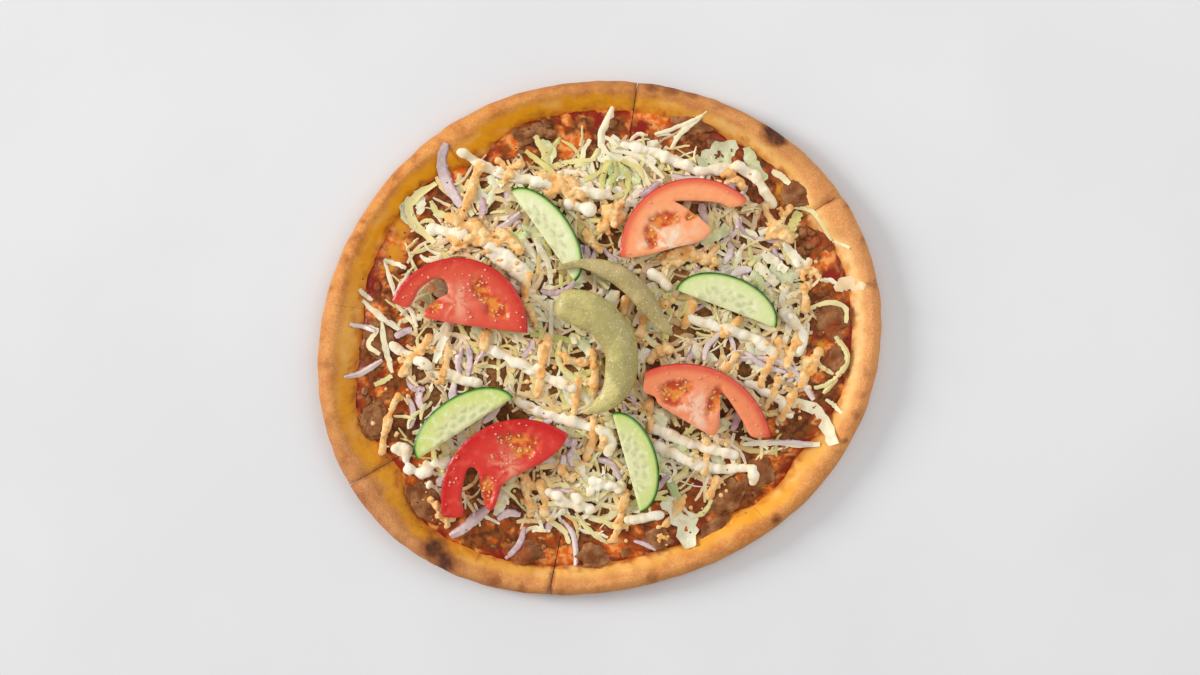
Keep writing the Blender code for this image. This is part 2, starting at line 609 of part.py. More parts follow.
def fuse(core, pieces):
    """Join the pieces onto the core as one closed body."""
    group = bpy.data.collections.new("salad_pieces")
    for piece in pieces:
        bpy.context.collection.objects.unlink(piece)
        group.objects.link(piece)
    joint = core.modifiers.new("Fuse", "BOOLEAN")
    joint.operation = "UNION"
    joint.operand_type = "COLLECTION"
    joint.collection = group
    joint.solver = "MANIFOLD"
    bpy.context.view_layer.update()
    fused = bpy.data.meshes.new_from_object(core.evaluated_get(bpy.context.evaluated_depsgraph_get()))
    core.modifiers.clear()
    core.data = fused
    for piece in list(group.objects):
        bpy.data.objects.remove(piece, do_unlink=True)
    bpy.data.collections.remove(group)
    body = bmesh.new()
    body.from_mesh(fused)
    largest_body(body)
    bmesh.ops.triangulate(body, faces=body.faces[:])
    bmesh.ops.dissolve_degenerate(body, dist=SLIVER * METRES, edges=body.edges[:])
    body.to_mesh(fused)
    body.free()
    fused.materials.clear()
    fused.materials.append(material("cabbage_salad"))
    return core


def add_salad_pieces(heap, ground, toppings):
    """Every shred, sliver, leaf and line of sauce, as an object of its own for the moment."""
    draw = random.Random(SHRED_SEED)
    plans = [({**SALAD_KINDS["shred"], "half": half}, route) for route, half in drawn_shreds(draw)]
    for name, routes in (("shred", LONG_SHREDS), ("sliver", ONION_SLIVERS), ("leaf", LEAVES),
                         ("peach_sauce", PEACH_SAUCE), ("white_sauce", WHITE_SAUCE)):
        plans += [(SALAD_KINDS[name], [Vector((*on_pizza(p), 0)) for p in route]) for route in routes]
    made = []
    for kind, places in plans:
        for run in clear_runs(smooth_route(places, ROUTE_STEPS), toppings, kind["half"]):
            body = salad_piece(run, kind, heap, ground, draw)
            made.append(add_object(f"piece_{len(made)}", body, "cabbage_salad"))
    return made


def add_toppings(heap):
    """Tomato, cucumber and pepper, each lying on the heap and clear of the others."""
    made = {"tomato": [], "cucumber": []}
    outlines = {"tomato": [tomato_outline(shape) for shape in TOMATOES],
                "cucumber": [cucumber_outline(shape) for shape in CUCUMBERS]}
    for name, thickness, look in (("tomato", TOMATO_THICKNESS, "tomato_flesh"),
                                  ("cucumber", CUCUMBER_THICKNESS, "cucumber_flesh")):
        for number, outline in enumerate(outlines[name], 1):
            body = slab(outline, thickness, heap)
            made[name].append(add_object(f"{name}_{number}", body, look))
    return made, outlines["tomato"] + outlines["cucumber"]


def build():
    clear_scene()
    layers = add_layers()
    kebab = add_kebab(surface_of(layers))
    core = add_object("salad", shaped_disc(heap_section, HEAP_STEPS), "cabbage_salad")
    heap = surface_of([core])
    made, outlines = add_toppings(heap)
    slabs = made["tomato"] + made["cucumber"]
    for number, shape in enumerate(PEPPERS, 1):
        add_pepper(number, shape, surface_of([core] + slabs))
        outlines.append(pepper_outline(shape))
    ground = surface_of(layers + kebab)
    fuse(core, add_salad_pieces(heap, ground, outlines))


build()
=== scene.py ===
"""The looks of a kebab pizza: baked crust, sauce and cheese, meat, and a heap of dressed salad.

Shapes are worked out in millimetres round the place where the cuts meet, as in the solids, and
become metres when a piece is finished. Places read off the view from above are picture points
(across, down), which on_pizza turns into millimetres.
"""

import math
import random
from functools import lru_cache

import bmesh
import bpy
import numpy as np
from mathutils import Matrix, Vector, noise
from mathutils.bvhtree import BVHTree
from mathutils.geometry import delaunay_2d_cdt, interpolate_bezier


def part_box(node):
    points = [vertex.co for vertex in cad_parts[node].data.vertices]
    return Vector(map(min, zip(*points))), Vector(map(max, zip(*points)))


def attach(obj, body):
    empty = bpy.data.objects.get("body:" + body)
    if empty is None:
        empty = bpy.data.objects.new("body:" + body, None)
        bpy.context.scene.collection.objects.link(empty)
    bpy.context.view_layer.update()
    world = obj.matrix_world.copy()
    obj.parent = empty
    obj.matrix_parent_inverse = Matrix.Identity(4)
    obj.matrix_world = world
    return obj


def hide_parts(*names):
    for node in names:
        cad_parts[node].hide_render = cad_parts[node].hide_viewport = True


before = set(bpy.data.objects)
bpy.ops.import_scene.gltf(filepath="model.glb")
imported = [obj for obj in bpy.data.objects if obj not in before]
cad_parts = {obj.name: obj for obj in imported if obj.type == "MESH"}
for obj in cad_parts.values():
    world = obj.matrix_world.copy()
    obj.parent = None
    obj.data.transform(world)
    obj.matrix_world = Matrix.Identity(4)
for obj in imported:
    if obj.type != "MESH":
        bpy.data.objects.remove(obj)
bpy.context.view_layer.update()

# The view from above: its scale, and the point over the place where the cuts meet.
POINT_SIZE = 0.53
MIDDLE_POINT = (601, 338.5)
IMAGE_SIZE = (1200, 675)
METRES = 0.001

# Crust, as in the solids: an uneven round with low waves (times round, size, phase).
EDGE_MEAN = 144.0
EDGE_WAVES = ((1, 2.0, -173), (2, 8.4, 38), (3, 1.9, -37), (4, 0.7, 138))
CRUST_STEPS = 480
BASE_THICKNESS = 4.5
RIM_HEIGHT = 12.5
RIM_UNEVENNESS = 1.3
RIM_WIDTH = 16.5
RIM_WIDENINGS = ((30, 8, 7), (125, 8, 9), (180, 7, 14), (211, 11, 10), (305, 3, 9), (330, 4, 6))
# Cuts: angle, how far open, how deep the groove over it, and how dark it is painted along it, partly browning and
# partly painted shade in the groove.
CUTS = ((11.6, 0.15, 1.0, 0.35), (30.9, 0.2, 2.6, 0.55), (81.9, 0.4, 1.4, 0.8), (128.7, 0.1, 1.4, 0.25),
        (172.9, 0.1, 0.6, 0.15), (210.3, 0.25, 1.0, 0.6), (258.5, 0.4, 2.0, 1.0), (312.2, 0.1, 0.6, 0.2))
GROOVE_HALF = 1.7
GAP = 0.3
SAUCE_THICKNESS = 1.9
SAUCE_RINGS = 28
SAUCE_RING_STEP = 1.25

# Sides of the rim that are golden, charred, floury, pale and toasted: angle, spread and strength. The pale sides are
# partly painted light.
GOLDEN_SIDES = ((150, 62, 1), (95, 35, 0.6), (215, 30, 0.5), (318, 26, 0.8))
CHARRED_SIDES = ((222, 34, 0.16), (80, 16, 0.05))
FLOURY_SIDES = ((215, 26, 0.9),)
# Pale: partly a paler bake, partly painted light: lighter on the right where the rim turns from the key lamp, with
# painted highlights low and on the left.
PALE_SIDES = ((5, 32, 1), (268, 30, 0.5), (52, 22, 0.5), (178, 12, 0.35))
TOASTED_SIDES = ((218, 30, 0.75), (84, 26, 0.38))

# Char and brown spots on the rim: place, size and strength.
CHAR_SPOTS = (((772, 131), 11, 1.3), ((780, 139), 8, 1.1), ((433, 549), 10, 1.2), ((446, 563), 9, 1.2),
              ((495, 582), 8, 0.6), ((521, 590), 7, 0.5), ((652, 86), 8, 0.75), ((672, 88), 9, 0.8),
              ((693, 92), 7, 0.7), ((560, 88), 8, 0.35), ((652, 578), 9, 0.5), ((776, 519), 6, 0.8),
              ((845, 441), 4, 0.7), ((848, 205), 4, 0.5), ((326, 365), 9, 0.3), ((395, 155), 8, 0.3),
              ((602, 590), 9, 0.3), ((360, 500), 9, 0.35), ((414, 158), 6, 0.4), ((396, 176), 6, 0.5),
              ((363, 221), 6, 0.4), ((357, 237), 6, 0.5), ((345, 259), 6, 0.45), ((331, 288), 5, 0.4),
              ((322, 340), 6, 0.3), ((330, 420), 7, 0.3), ((345, 460), 7, 0.35), ((868, 330), 6, 0.3),
              ((862, 395), 7, 0.3), ((700, 566), 7, 0.3), ((560, 596), 8, 0.35), ((476, 108), 6, 0.3),
              ((866, 240), 7, 0.35), ((875, 288), 8, 0.35), ((869, 372), 8, 0.35), ((858, 415), 9, 0.4),
              ((612, 84), 9, 0.35), ((585, 86), 8, 0.3), ((720, 106), 8, 0.3))

# Patches in the sauce ring: place, radius, and which of red, orange, dark and gold it is.
SAUCE_PATCHES = (
    ((470, 545), 10, 2), ((426, 500), 12, 2), ((660, 555), 14, 2), ((700, 125), 13, 2), ((763, 158), 9, 2),
    ((812, 232), 9, 2), ((380, 425), 14, 2), ((365, 350), 10, 2), ((830, 390), 12, 2), ((745, 495), 14, 2),
    ((545, 125), 10, 2), ((400, 205), 8, 2), ((822, 302), 17, 2), ((520, 548), 12, 2), ((470, 160), 8, 2),
    ((573, 145), 14, 1), ((655, 118), 12, 1), ((455, 175), 12, 1), ((395, 245), 14, 1), ((375, 310), 10, 1),
    ((545, 558), 10, 1), ((567, 556), 11, 1), ((765, 465), 12, 1), ((830, 256), 9, 1), ((838, 330), 10, 1),
    ((640, 113), 9, 1), ((515, 137), 12, 1), ((725, 520), 9, 1), ((615, 548), 10, 1), ((785, 163), 8, 1),
    ((840, 248), 6, 1), ((372, 285), 11, 0), ((368, 222), 9, 0), ((425, 187), 8, 0), ((640, 128), 12, 0),
    ((847, 347), 9, 0), ((785, 485), 12, 0), ((592, 562), 12, 0), ((838, 276), 8, 0), ((500, 560), 10, 0),
    ((602, 118), 9, 0), ((690, 112), 9, 0), ((800, 175), 6, 0), ((850, 305), 7, 0), ((783, 192), 9, 3),
    ((761, 525), 7, 3), ((735, 535), 8, 3), ((390, 250), 8, 3), ((832, 353), 5, 3), ((830, 345), 8, 1),
    ((826, 262), 6, 1), ((768, 470), 6, 3), ((386, 268), 6, 3), ((400, 226), 11, 3), ((392, 262), 9, 3),
    ((372, 330), 5, 3),
    ((822, 345), 5, 3), ((760, 486), 6, 3))

# Kebab meat beside the salad: place, length, width and turn.
KEBAB_THICKNESS = 3.0
KEBAB_PIECES = (((801, 192), 14, 12, 20), ((827, 240), 18, 11, 60), ((832, 318), 17, 13, 80),
                ((726, 500), 20, 12, 40), ((759, 476), 16, 12, 45), ((716, 528), 15, 8, 35),
                ((658, 541), 12, 9, 10), ((592, 557), 14, 9, 0), ((524, 553), 16, 10, -10),
                ((424, 503), 18, 12, -50), ((373, 420), 16, 11, 70), ((377, 338), 17, 12, 85),
                ((530, 132), 16, 8, 15), ((697, 121), 17, 10, -15), ((838, 362), 15, 11, 85))
# Crumbs of meat: how many, how wide the ring of them is, and where half of them gather.
CRUMB_COUNT = 150
CRUMB_BAND = 34
CRUMB_HEAPS = ((430, 497), (443, 513), (422, 483), (838, 368), (545, 125), (376, 405), (812, 238), (655, 545))

# Salad: the reach of the dense heap from the middle, every 15 degrees.
HEAP_REACHES = (111, 113, 112, 112, 112, 107, 107, 100, 108, 112, 110, 108,
                107, 111, 116, 117, 107, 105, 101, 100, 95, 98, 107, 112)
HEAP_EDGE_HEIGHT = 4.5
HEAP_HEIGHT = 10.0
# How far the bed lies below the heap's top, to leave room for the shreds.
CORE_DROP = 3.2
CORE_STEPS = 300

# Slices lean outwards by some degrees; grids are the fineness of their tops.
SLICE_LEAN = 3
SLICE_REACH = 55
TOMATO_THICKNESS = 6.0
TOMATO_GRID = 0.95
POCKET_DEPTH = 1.5
SEED_HALVES = (0.95, 0.6, 0.4)
CUCUMBER_THICKNESS = 4.5
CUCUMBER_GRID = 0.85
SEED_RINGS = ((0.30, 36, 10), (0.52, 24, 3))
PEPPER_FLATNESS = 0.62

# Tomato half slices: an arc of skin, the inner edge back to its start, the seed pockets (place, half
# length, half width, turn), how pale the flesh is, and how many grains of salt lie on it.
TOMATOES = (
    {"arc": ((528, 333), (467, 259), (393, 302)), "pale": 0.15, "salt": 40, "heart": ((458, 302), 17, 1.0),
     "inner": ((407, 308), (413, 303), (420, 290), (431, 281), (441, 278), (448, 284), (449, 294), (441, 298),
               (429, 307), (426, 314), (431, 319), (478, 327)),
     "pockets": (((483, 291), 16, 9, -62), ((496, 308), 16, 11, -38), ((436, 307), 9, 6, 35))},
    {"arc": ((745, 199), (668, 184), (620, 258)), "pale": 1.0, "salt": 5, "heart": ((669, 247), 27, 1.3),
     "inner": ((634, 258), (654, 254), (675, 248), (697, 243), (708, 236), (709, 229), (699, 219), (682, 207),
               (675, 202), (703, 202), (719, 204), (730, 208), (743, 205)),
     "pockets": (((664, 221), 18, 9, 12), ((651, 238), 8, 13, 14), ((692, 216), 10, 5, 30))},
    {"arc": ((569, 434), (495, 423), (444, 516)), "pale": 0.0, "salt": 44, "heart": ((510, 464), 15, 1.0),
     "inner": ((463, 515), (462, 498), (464, 483), (468, 469), (474, 466), (480, 473), (481, 484), (485, 501),
               (488, 508), (494, 508), (499, 496), (502, 486), (514, 476), (528, 469), (542, 462), (560, 448)),
     "pockets": (((520, 441), 23, 9, -8), ((524, 450), 13, 8, -5), ((488, 488), 7, 16, 5))},
    {"arc": ((770, 436), (728, 376), (645, 371)), "pale": 0.7, "salt": 28, "heart": ((695, 409), 17, 1.3),
     "inner": ((643, 390), (654, 396), (660, 405), (686, 421), (707, 433), (714, 434), (718, 424), (719, 405),
               (720, 392), (726, 397), (733, 407), (742, 421), (751, 436)),
     "pockets": (((676, 388), 19, 9, 5), ((670, 398), 13, 8, -25), ((713, 400), 7, 18, -20))})

# Cucumber half slices: the two ends of the flat side, how far the skin bows out from it, how pale it is.
CUCUMBERS = (((511, 191), (575, 282), 15.5, 0.9), ((675, 290), (775, 328), 17.5, 0.55),
             ((418, 459), (514, 397), 17.5, 0.0), ((612, 412), (640, 512), 16.5, 0.15))

# Pickled peppers: the middle line, with the half width at each place.
PEPPERS = (
    (((556, 305), 7.0), ((578, 308), 9.5), ((598, 317), 9.5), ((613, 333), 9.2), ((621, 352), 8.6),
     ((620, 379), 8.0), ((607, 400), 5.4), ((583, 413), 1.3)),
    (((557, 270), 1.6), ((580, 265), 2.3), ((599, 268), 4.2), ((617, 276), 5.4), ((634, 288), 5.6),
     ((650, 307), 4.9), ((663, 325), 3.2), ((672, 336), 1.1)))

# Cabbage shreds that stand out: the route, half the width, and how green they are.
NAMED_SHREDS = (
    (((435, 182), (409, 202), (410, 217), (417, 227), (434, 243)), 2.4, 0.45),
    (((613, 105), (608, 120), (601, 138), (607, 156)), 2.2, 0.1),
    (((600, 142), (612, 158), (632, 160), (652, 188)), 1.7, 0.15),
    (((607, 160), (599, 172), (583, 181)), 1.2, 0.6), (((611, 160), (603, 176), (601, 194)), 1.7, 0.7),
    (((615, 160), (615, 174), (609, 190)), 1.3, 0.85), (((618, 162), (628, 176), (626, 194)), 1.5, 0.8),
    (((622, 160), (640, 170), (646, 186)), 1.4, 0.55), (((630, 140), (638, 133), (648, 134)), 1.1, 0.1),
    (((612, 150), (640, 156), (664, 178)), 1.2, 0.1), (((590, 138), (583, 152), (584, 170)), 1.4, 0.2),
    (((598, 148), (590, 160), (574, 166)), 1.5, 0.4),
    (((534, 135), (545, 150), (549, 167)), 2.6, 0.5), (((560, 136), (551, 148), (540, 160)), 1.6, 0.6),
    (((537, 174), (561, 163), (596, 159)), 1.6, 0.5), (((525, 150), (538, 160), (560, 178)), 1.5, 0.65),
    (((707, 111), (682, 131), (671, 148)), 1.5, 0.15), (((696, 118), (672, 128), (655, 133)), 1.2, 0.1),
    (((773, 170), (782, 175), (791, 183)), 1.8, 0.2), (((801, 211), (795, 222), (786, 236)), 2.6, 0.75),
    (((784, 243), (796, 256), (808, 268)), 2.8, 0.05), (((763, 252), (775, 262), (787, 271)), 2.8, 0.08),
    (((756, 264), (767, 275), (777, 285)), 2.6, 0.1), (((790, 205), (815, 212), (833, 240)), 1.3, 0.3),
    (((834, 241), (842, 243), (850, 248)), 1.2, 0.2), (((821, 280), (831, 280), (840, 284)), 1.3, 0.1),
    (((809, 309), (832, 302), (847, 308), (847, 323)), 1.4, 0.35),
    (((837, 336), (849, 357), (839, 376), (825, 394)), 1.6, 0.4), (((814, 359), (824, 368), (835, 374)), 1.3, 0.3),
    (((815, 388), (825, 386), (834, 380)), 1.3, 0.4), (((827, 400), (836, 406), (843, 414)), 1.2, 0.2),
    (((794, 403), (815, 408), (827, 425), (834, 445)), 3.4, 0.12), (((358, 289), (364, 295), (371, 300)), 1.3, 0.1),
    (((361, 300), (376, 314), (401, 331)), 1.8, 0.1), (((381, 322), (383, 342), (391, 373)), 1.6, 0.15),
    (((377, 330), (367, 345), (379, 354)), 1.5, 0.2), (((383, 260), (391, 285), (394, 297)), 1.2, 0.1),
    (((383, 260), (394, 263), (405, 268)), 1.3, 0.1), (((409, 271), (401, 283), (393, 296)), 1.3, 0.1),
    (((395, 303), (404, 314), (413, 324)), 1.3, 0.2), (((373, 385), (382, 381), (391, 376)), 1.4, 0.5),
    (((392, 300), (409, 309), (416, 327)), 1.2, 0.05), (((352, 327), (364, 326), (378, 329)), 1.0, 0.1),
    (((575, 514), (590, 532), (608, 545)), 1.4, 0.35), (((547, 519), (564, 533), (569, 545)), 1.5, 0.3),
    (((535, 240), (548, 264), (551, 284)), 1.6, 0.05), (((552, 300), (551, 330), (548, 366)), 1.3, 0.1),
    (((673, 480), (685, 472), (690, 459)), 1.7, 0.45), (((743, 445), (768, 443), (800, 445), (821, 445)), 1.6, 0.05),
    (((630, 505), (648, 498), (668, 500)), 1.6, 0.6), (((600, 520), (616, 528), (632, 524)), 1.5, 0.5),
    (((463, 400), (478, 408), (492, 402)), 1.5, 0.4), (((693, 520), (706, 512), (712, 500)), 1.4, 0.5),
    (((640, 330), (655, 345), (676, 352)), 1.5, 0.3), (((700, 270), (716, 282), (722, 300)), 1.5, 0.7),
    (((782, 300), (790, 320), (784, 345)), 2.0, 0.1), (((430, 200), (436, 212), (452, 216)), 1.8, 0.5))
ONION_SLIVERS = (
    (((446, 143), (441, 161), (446, 181), (461, 206)), 3.1), (((481, 197), (483, 207), (481, 219)), 1.8),
    (((496, 229), (508, 222), (520, 213)), 2.0), (((640, 196), (650, 190), (659, 182)), 2.0),
    (((737, 218), (738, 222), (738, 228)), 1.4), (((730, 243), (731, 252), (724, 264)), 1.9),
    (((603, 247), (608, 254), (617, 261)), 1.3), (((462, 348), (458, 360), (459, 374)), 2.2),
    (((468, 345), (470, 360), (468, 376)), 1.7), (((394, 337), (402, 332), (411, 329)), 2.0),
    (((343, 377), (359, 373), (381, 360)), 1.9), (((349, 324), (360, 326), (374, 331)), 1.2),
    (((720, 333), (707, 347), (704, 360)), 1.8), (((740, 358), (774, 360), (794, 371), (807, 387), (815, 400)), 2.1),
    (((745, 352), (765, 366), (786, 372)), 1.6), (((449, 537), (465, 527), (487, 509)), 3.0),
    (((497, 520), (508, 514), (520, 516)), 2.2), (((524, 528), (519, 545), (505, 560)), 1.7),
    (((562, 521), (573, 536), (576, 558), (575, 567)), 1.7), (((559, 468), (563, 462), (564, 455)), 1.7),
    (((572, 466), (569, 456), (574, 447)), 1.5), (((598, 459), (613, 465), (620, 479)), 2.0),
    (((548, 490), (561, 491), (574, 491)), 1.5), (((565, 440), (571, 443), (577, 441)), 2.6),
    (((634, 542), (645, 545), (656, 551)), 1.3), (((768, 443), (795, 443), (812, 445)), 1.4),
    (((478, 360), (484, 350), (481, 338)), 1.6), (((700, 292), (710, 286), (722, 288)), 1.5),
    (((522, 356), (530, 350), (533, 340)), 1.6), (((640, 455), (652, 450), (662, 438)), 1.5))
# Leaves that the peach-coloured sauce has dyed.
PEACH_FLAPS = ((((836, 289), (850, 283), (868, 284)), 3.8), (((796, 272), (806, 266), (812, 258)), 2.6))
# Paler and greener leaves: the route, half the width, and how green.
LEAVES = (
    (((700, 166), (718, 152), (738, 143)), 5.0, 0.2), (((747, 146), (753, 163), (766, 180)), 3.4, 0.55),
    (((664, 500), (682, 517), (692, 548)), 6.0, 0.1), (((408, 196), (404, 210), (413, 228)), 2.8, 0.3),
    (((414, 190), (420, 202), (418, 214)), 2.6, 0.15), (((508, 232), (516, 238), (526, 232)), 3.0, 0.9),
    (((540, 140), (549, 152), (546, 168)), 3.4, 0.6), (((596, 150), (607, 157), (622, 153)), 3.0, 0.1),
    (((609, 166), (614, 178), (606, 190)), 2.8, 0.75), (((621, 168), (630, 178), (640, 182)), 2.6, 0.65),
    (((640, 330), (652, 322), (660, 330)), 3.0, 0.5),
    (((700, 240), (716, 236), (728, 226)), 3.0, 0.6), (((770, 268), (786, 276), (800, 270)), 4.0, 0.2),
    (((480, 470), (487, 462), (498, 458)), 2.8, 0.4), (((730, 152), (726, 162), (716, 168)), 3.2, 0.5),
    (((622, 440), (636, 452), (640, 470)), 3.0, 0.3), (((672, 408), (660, 420), (664, 434)), 4.0, 0.35))

# Lines of white garlic sauce, and blobs of it: place and radius.
WHITE_LINES = (
    ((460, 152), (478, 162), (497, 172), (520, 178), (545, 183), (572, 190), (607, 195)),
    ((569, 204), (579, 207), (590, 209)), ((625, 144), (645, 149), (665, 156)),
    ((665, 156), (684, 164), (703, 170), (738, 166)), ((738, 166), (756, 177), (773, 203)),
    ((432, 229), (446, 231), (462, 234)), ((486, 245), (508, 257), (530, 274)), ((490, 254), (507, 266), (524, 280)),
    ((391, 346), (409, 356), (427, 366)), ((448, 374), (463, 380), (478, 383)),
    ((490, 349), (509, 358), (528, 368), (548, 378), (572, 388)),
    ((517, 401), (536, 410), (556, 418), (580, 423), (608, 433)),
    ((690, 318), (712, 325), (732, 331), (752, 337), (772, 351)), ((783, 313), (799, 327), (804, 337), (799, 352)),
    ((748, 383), (763, 391), (778, 398), (791, 416)), ((656, 429), (677, 438), (698, 446), (735, 455)),
    ((654, 446), (672, 454), (691, 462), (714, 469), (753, 469)), ((753, 469), (754, 476), (753, 483)),
    ((594, 481), (608, 485), (622, 486)), ((628, 521), (645, 519), (661, 515)),
    ((549, 492), (562, 500), (578, 508)), ((574, 497), (583, 505), (590, 509)),
    ((600, 430), (612, 440), (608, 452)), ((668, 286), (660, 279), (652, 275)))
WHITE_BLOBS = (((398, 452), 4.2), ((405, 455), 4.6), ((410, 467), 4.6), ((424, 470), 5.4), ((444, 462), 4.8),
               ((431, 487), 2.4), ((560, 497), 4.2), ((575, 500), 4.4), ((587, 494), 3.6),
               ((497, 172), 2.9), ((607, 195), 3.0), ((665, 156), 2.8), ((598, 484), 3.4), ((616, 487), 3.2),
               ((781, 266), 3.0), ((797, 262), 2.8), ((788, 318), 3.0), ((535, 371), 2.8), ((403, 455), 3.0))

# Lines of peach-coloured sauce, and blobs of it: place and radius.
PEACH_LINES = (
    ((480, 167), (474, 180), (468, 198), (460, 220)), ((450, 217), (462, 226), (474, 222), (486, 236)),
    ((448, 236), (462, 242), (478, 240), (497, 244)), ((497, 160), (508, 168), (520, 164)),
    ((543, 176), (556, 184), (568, 180), (581, 196)), ((548, 196), (560, 190), (574, 200)),
    ((600, 230), (610, 214), (622, 203)), ((604, 212), (616, 222), (625, 214)),
    ((722, 172), (734, 176), (744, 186)), ((765, 206), (772, 218), (780, 230), (792, 240)),
    ((790, 208), (782, 222), (770, 236)), ((661, 249), (676, 262), (694, 254), (717, 262)),
    ((664, 262), (684, 248), (702, 262), (716, 248)), ((429, 338), (420, 350), (410, 360), (401, 374)),
    ((448, 350), (447, 362), (442, 382)), ((487, 334), (486, 341), (485, 349)), ((397, 396), (391, 408), (385, 430)),
    ((385, 430), (382, 440), (381, 452)), ((530, 276), (525, 290), (526, 305), (535, 320)),
    ((548, 336), (545, 355), (541, 375), (538, 395)), ((593, 351), (595, 372), (594, 394)),
    ((578, 379), (577, 395), (575, 411)), ((626, 300), (624, 308), (622, 316)), ((644, 317), (642, 327), (638, 338)),
    ((693, 304), (689, 314), (684, 326)), ((740, 319), (732, 326), (723, 334)), ((736, 355), (730, 363), (723, 372)),
    ((780, 340), (776, 352), (768, 368), (759, 388)), ((807, 288), (808, 298), (806, 309)),
    ((799, 328), (795, 345), (787, 367)), ((807, 360), (806, 372), (803, 385)), ((779, 379), (774, 392), (766, 409)),
    ((796, 390), (790, 402), (782, 419)), ((593, 418), (594, 430), (592, 442), (587, 458)),
    ((604, 436), (604, 440), (603, 446)), ((649, 403), (650, 420), (648, 437)), ((707, 440), (707, 455), (704, 471)),
    ((717, 479), (714, 488), (709, 498)), ((627, 492), (622, 510), (619, 525), (614, 540)),
    ((685, 497), (677, 511), (667, 525)), ((525, 478), (527, 497), (529, 516)), ((540, 484), (546, 500), (543, 514)),
    ((430, 500), (438, 510), (447, 527)), ((434, 506), (444, 514), (452, 521)), ((560, 468), (566, 476), (574, 480)),
    ((492, 292), (500, 300), (512, 296)), ((672, 300), (662, 306), (655, 318)), ((820, 352), (816, 362), (812, 374)),
    ((650, 360), (658, 352), (668, 350)), ((500, 232), (512, 240), (520, 252)), ((636, 236), (641, 240), (638, 245)),
    ((585, 230), (590, 242), (600, 250)), ((736, 280), (742, 288), (752, 292)), ((560, 352), (570, 360), (585, 362)))
PEACH_BLOBS = (((470, 238), 6.5), ((484, 243), 5.0), ((458, 247), 4.5), ((508, 172), 5.0), ((560, 186), 5.0),
               ((570, 196), 4.6), ((552, 178), 4.0), ((612, 212), 5.2), ((606, 226), 4.6), ((730, 176), 4.6),
               ((774, 226), 4.2), ((786, 214), 3.4), ((780, 240), 3.6), ((813, 272), 4.6), ((807, 283), 3.4),
               ((476, 229), 5.0), ((660, 349), 2.8),
               ((663, 539), 2.6), ((663, 551), 2.4), ((574, 479), 3.0), ((528, 505), 3.6), ((536, 486), 3.8),
               ((440, 515), 3.0), ((404, 358), 3.2), ((442, 372), 2.8), ((543, 345), 2.8), ((604, 440), 2.6),
               ((649, 430), 2.8), ((722, 482), 2.6), ((436, 280), 3.6), ((430, 288), 3.0), ((700, 256), 3.2),
               ((672, 255), 3.0), ((790, 352), 2.8), ((506, 180), 3.0), ((500, 262), 2.6),
               ((690, 396), 1.8), ((516, 268), 3.0), ((644, 405), 3.2), ((655, 398), 2.6))

# How each sauce lies. A blob is lumps spread round its place, drops lie loose near the lines, and voxel
# and grain are the fineness of the skin and its roughness, as (feature size, amount).
WHITE_SAUCE = {"lines": WHITE_LINES, "blobs": WHITE_BLOBS, "radius": 2.9, "uneven": 0.3, "squash": 0.6,
               "lumps": 4, "spread": 0.9, "drops": 10, "voxel": 0.62, "grain": ((5.0, 0.3), (1.6, 0.1)), "seed": 3}
PEACH_SAUCE = {"lines": PEACH_LINES, "blobs": PEACH_BLOBS, "radius": 2.25, "uneven": 0.45, "squash": 0.56,
               "lumps": 12, "spread": 1.6, "drops": 560, "voxel": 0.5, "grain": ((2.2, 0.3), (0.9, 0.2)), "seed": 5}

# How many loose things of each kind lie on the heap.
SHRED_COUNT = 800
WIDE_COUNT = 90
SMALL_SHRED_COUNT = 200
STRAY_COUNT = 60
LOOSE_ONION_COUNT = 75
FLECK_COUNT = 330

# Stage: half the floor's width and how far it lies below the pizza, and lights (place, size, power) in metres.
FLOOR_HALF = 14.0
FLOOR_DROP = 0.0004
LIGHTS = (("key", (-3.5, 1.0, 1.6), 1.4, 118.0), ("fill", (1.1, 0.7, 1.3), 1.5, 8.6))
SKY_STRENGTH = 0.55
FOCAL_LENGTH = 50
SENSOR_WIDTH = 36

# Edges sharper than this stay sharp, in degrees: on the cut discs, and on slices and shreds.
SHARP_CUT = 50
SHARP_SLICE = 55
FAR = 100
OPEN = 1000.0


def on_pizza(point):
    """Turn a point of the view from above into millimetres from the middle."""
    return ((point[0] - MIDDLE_POINT[0]) * POINT_SIZE, (MIDDLE_POINT[1] - point[1]) * POINT_SIZE)


def place_at(angle, radius):
    """The place at an angle round the middle, in degrees, and so far from it."""
    turn = math.radians(angle)
    return radius * math.cos(turn), radius * math.sin(turn)


def turned(x, y, angle):
    """Turn a place, or many, round the middle by an angle in degrees."""
    cosine, sine = math.cos(math.radians(angle)), math.sin(math.radians(angle))
    return x * cosine - y * sine, x * sine + y * cosine


def edge_radius(angle):
    waves = (size * math.cos(math.radians(count * angle - phase)) for count, size, phase in EDGE_WAVES)
    return EDGE_MEAN + sum(waves)


def rim_width(angle):
    width = RIM_WIDTH
    for place, extra, spread in RIM_WIDENINGS:
        apart = (angle - place + 180) % 360 - 180
        width += extra * math.exp(-(apart / spread) ** 2)
    return width


def foot_radius(angle):
    """How far from the middle the inner foot of the rim is."""
    return edge_radius(angle) - rim_width(angle)


def foot_beside(x, y):
    """The same on the side where a place lies."""
    return foot_radius(math.degrees(math.atan2(y, x)) % 360)


def outline_middle():
    """The middle of the crust's box, which is the origin of the finished pieces."""
    across, along = zip(*(place_at(angle, edge_radius(angle)) for angle in range(360)))
    return Vector(((min(across) + max(across)) / 2, (min(along) + max(along)) / 2, 0))


MIDDLE = outline_middle()
TO_METRES = Matrix.Scale(METRES, 4) @ Matrix.Translation(-MIDDLE)


# Colours and materials


def srgb(code):
    """A colour given as on screen, for a shader."""
    parts = [int(code[i:i + 2], 16) / 255 for i in (0, 2, 4)]
    return tuple(c / 12.92 if c <= 0.04045 else ((c + 0.055) / 1.055) ** 2.4 for c in parts) + (1,)


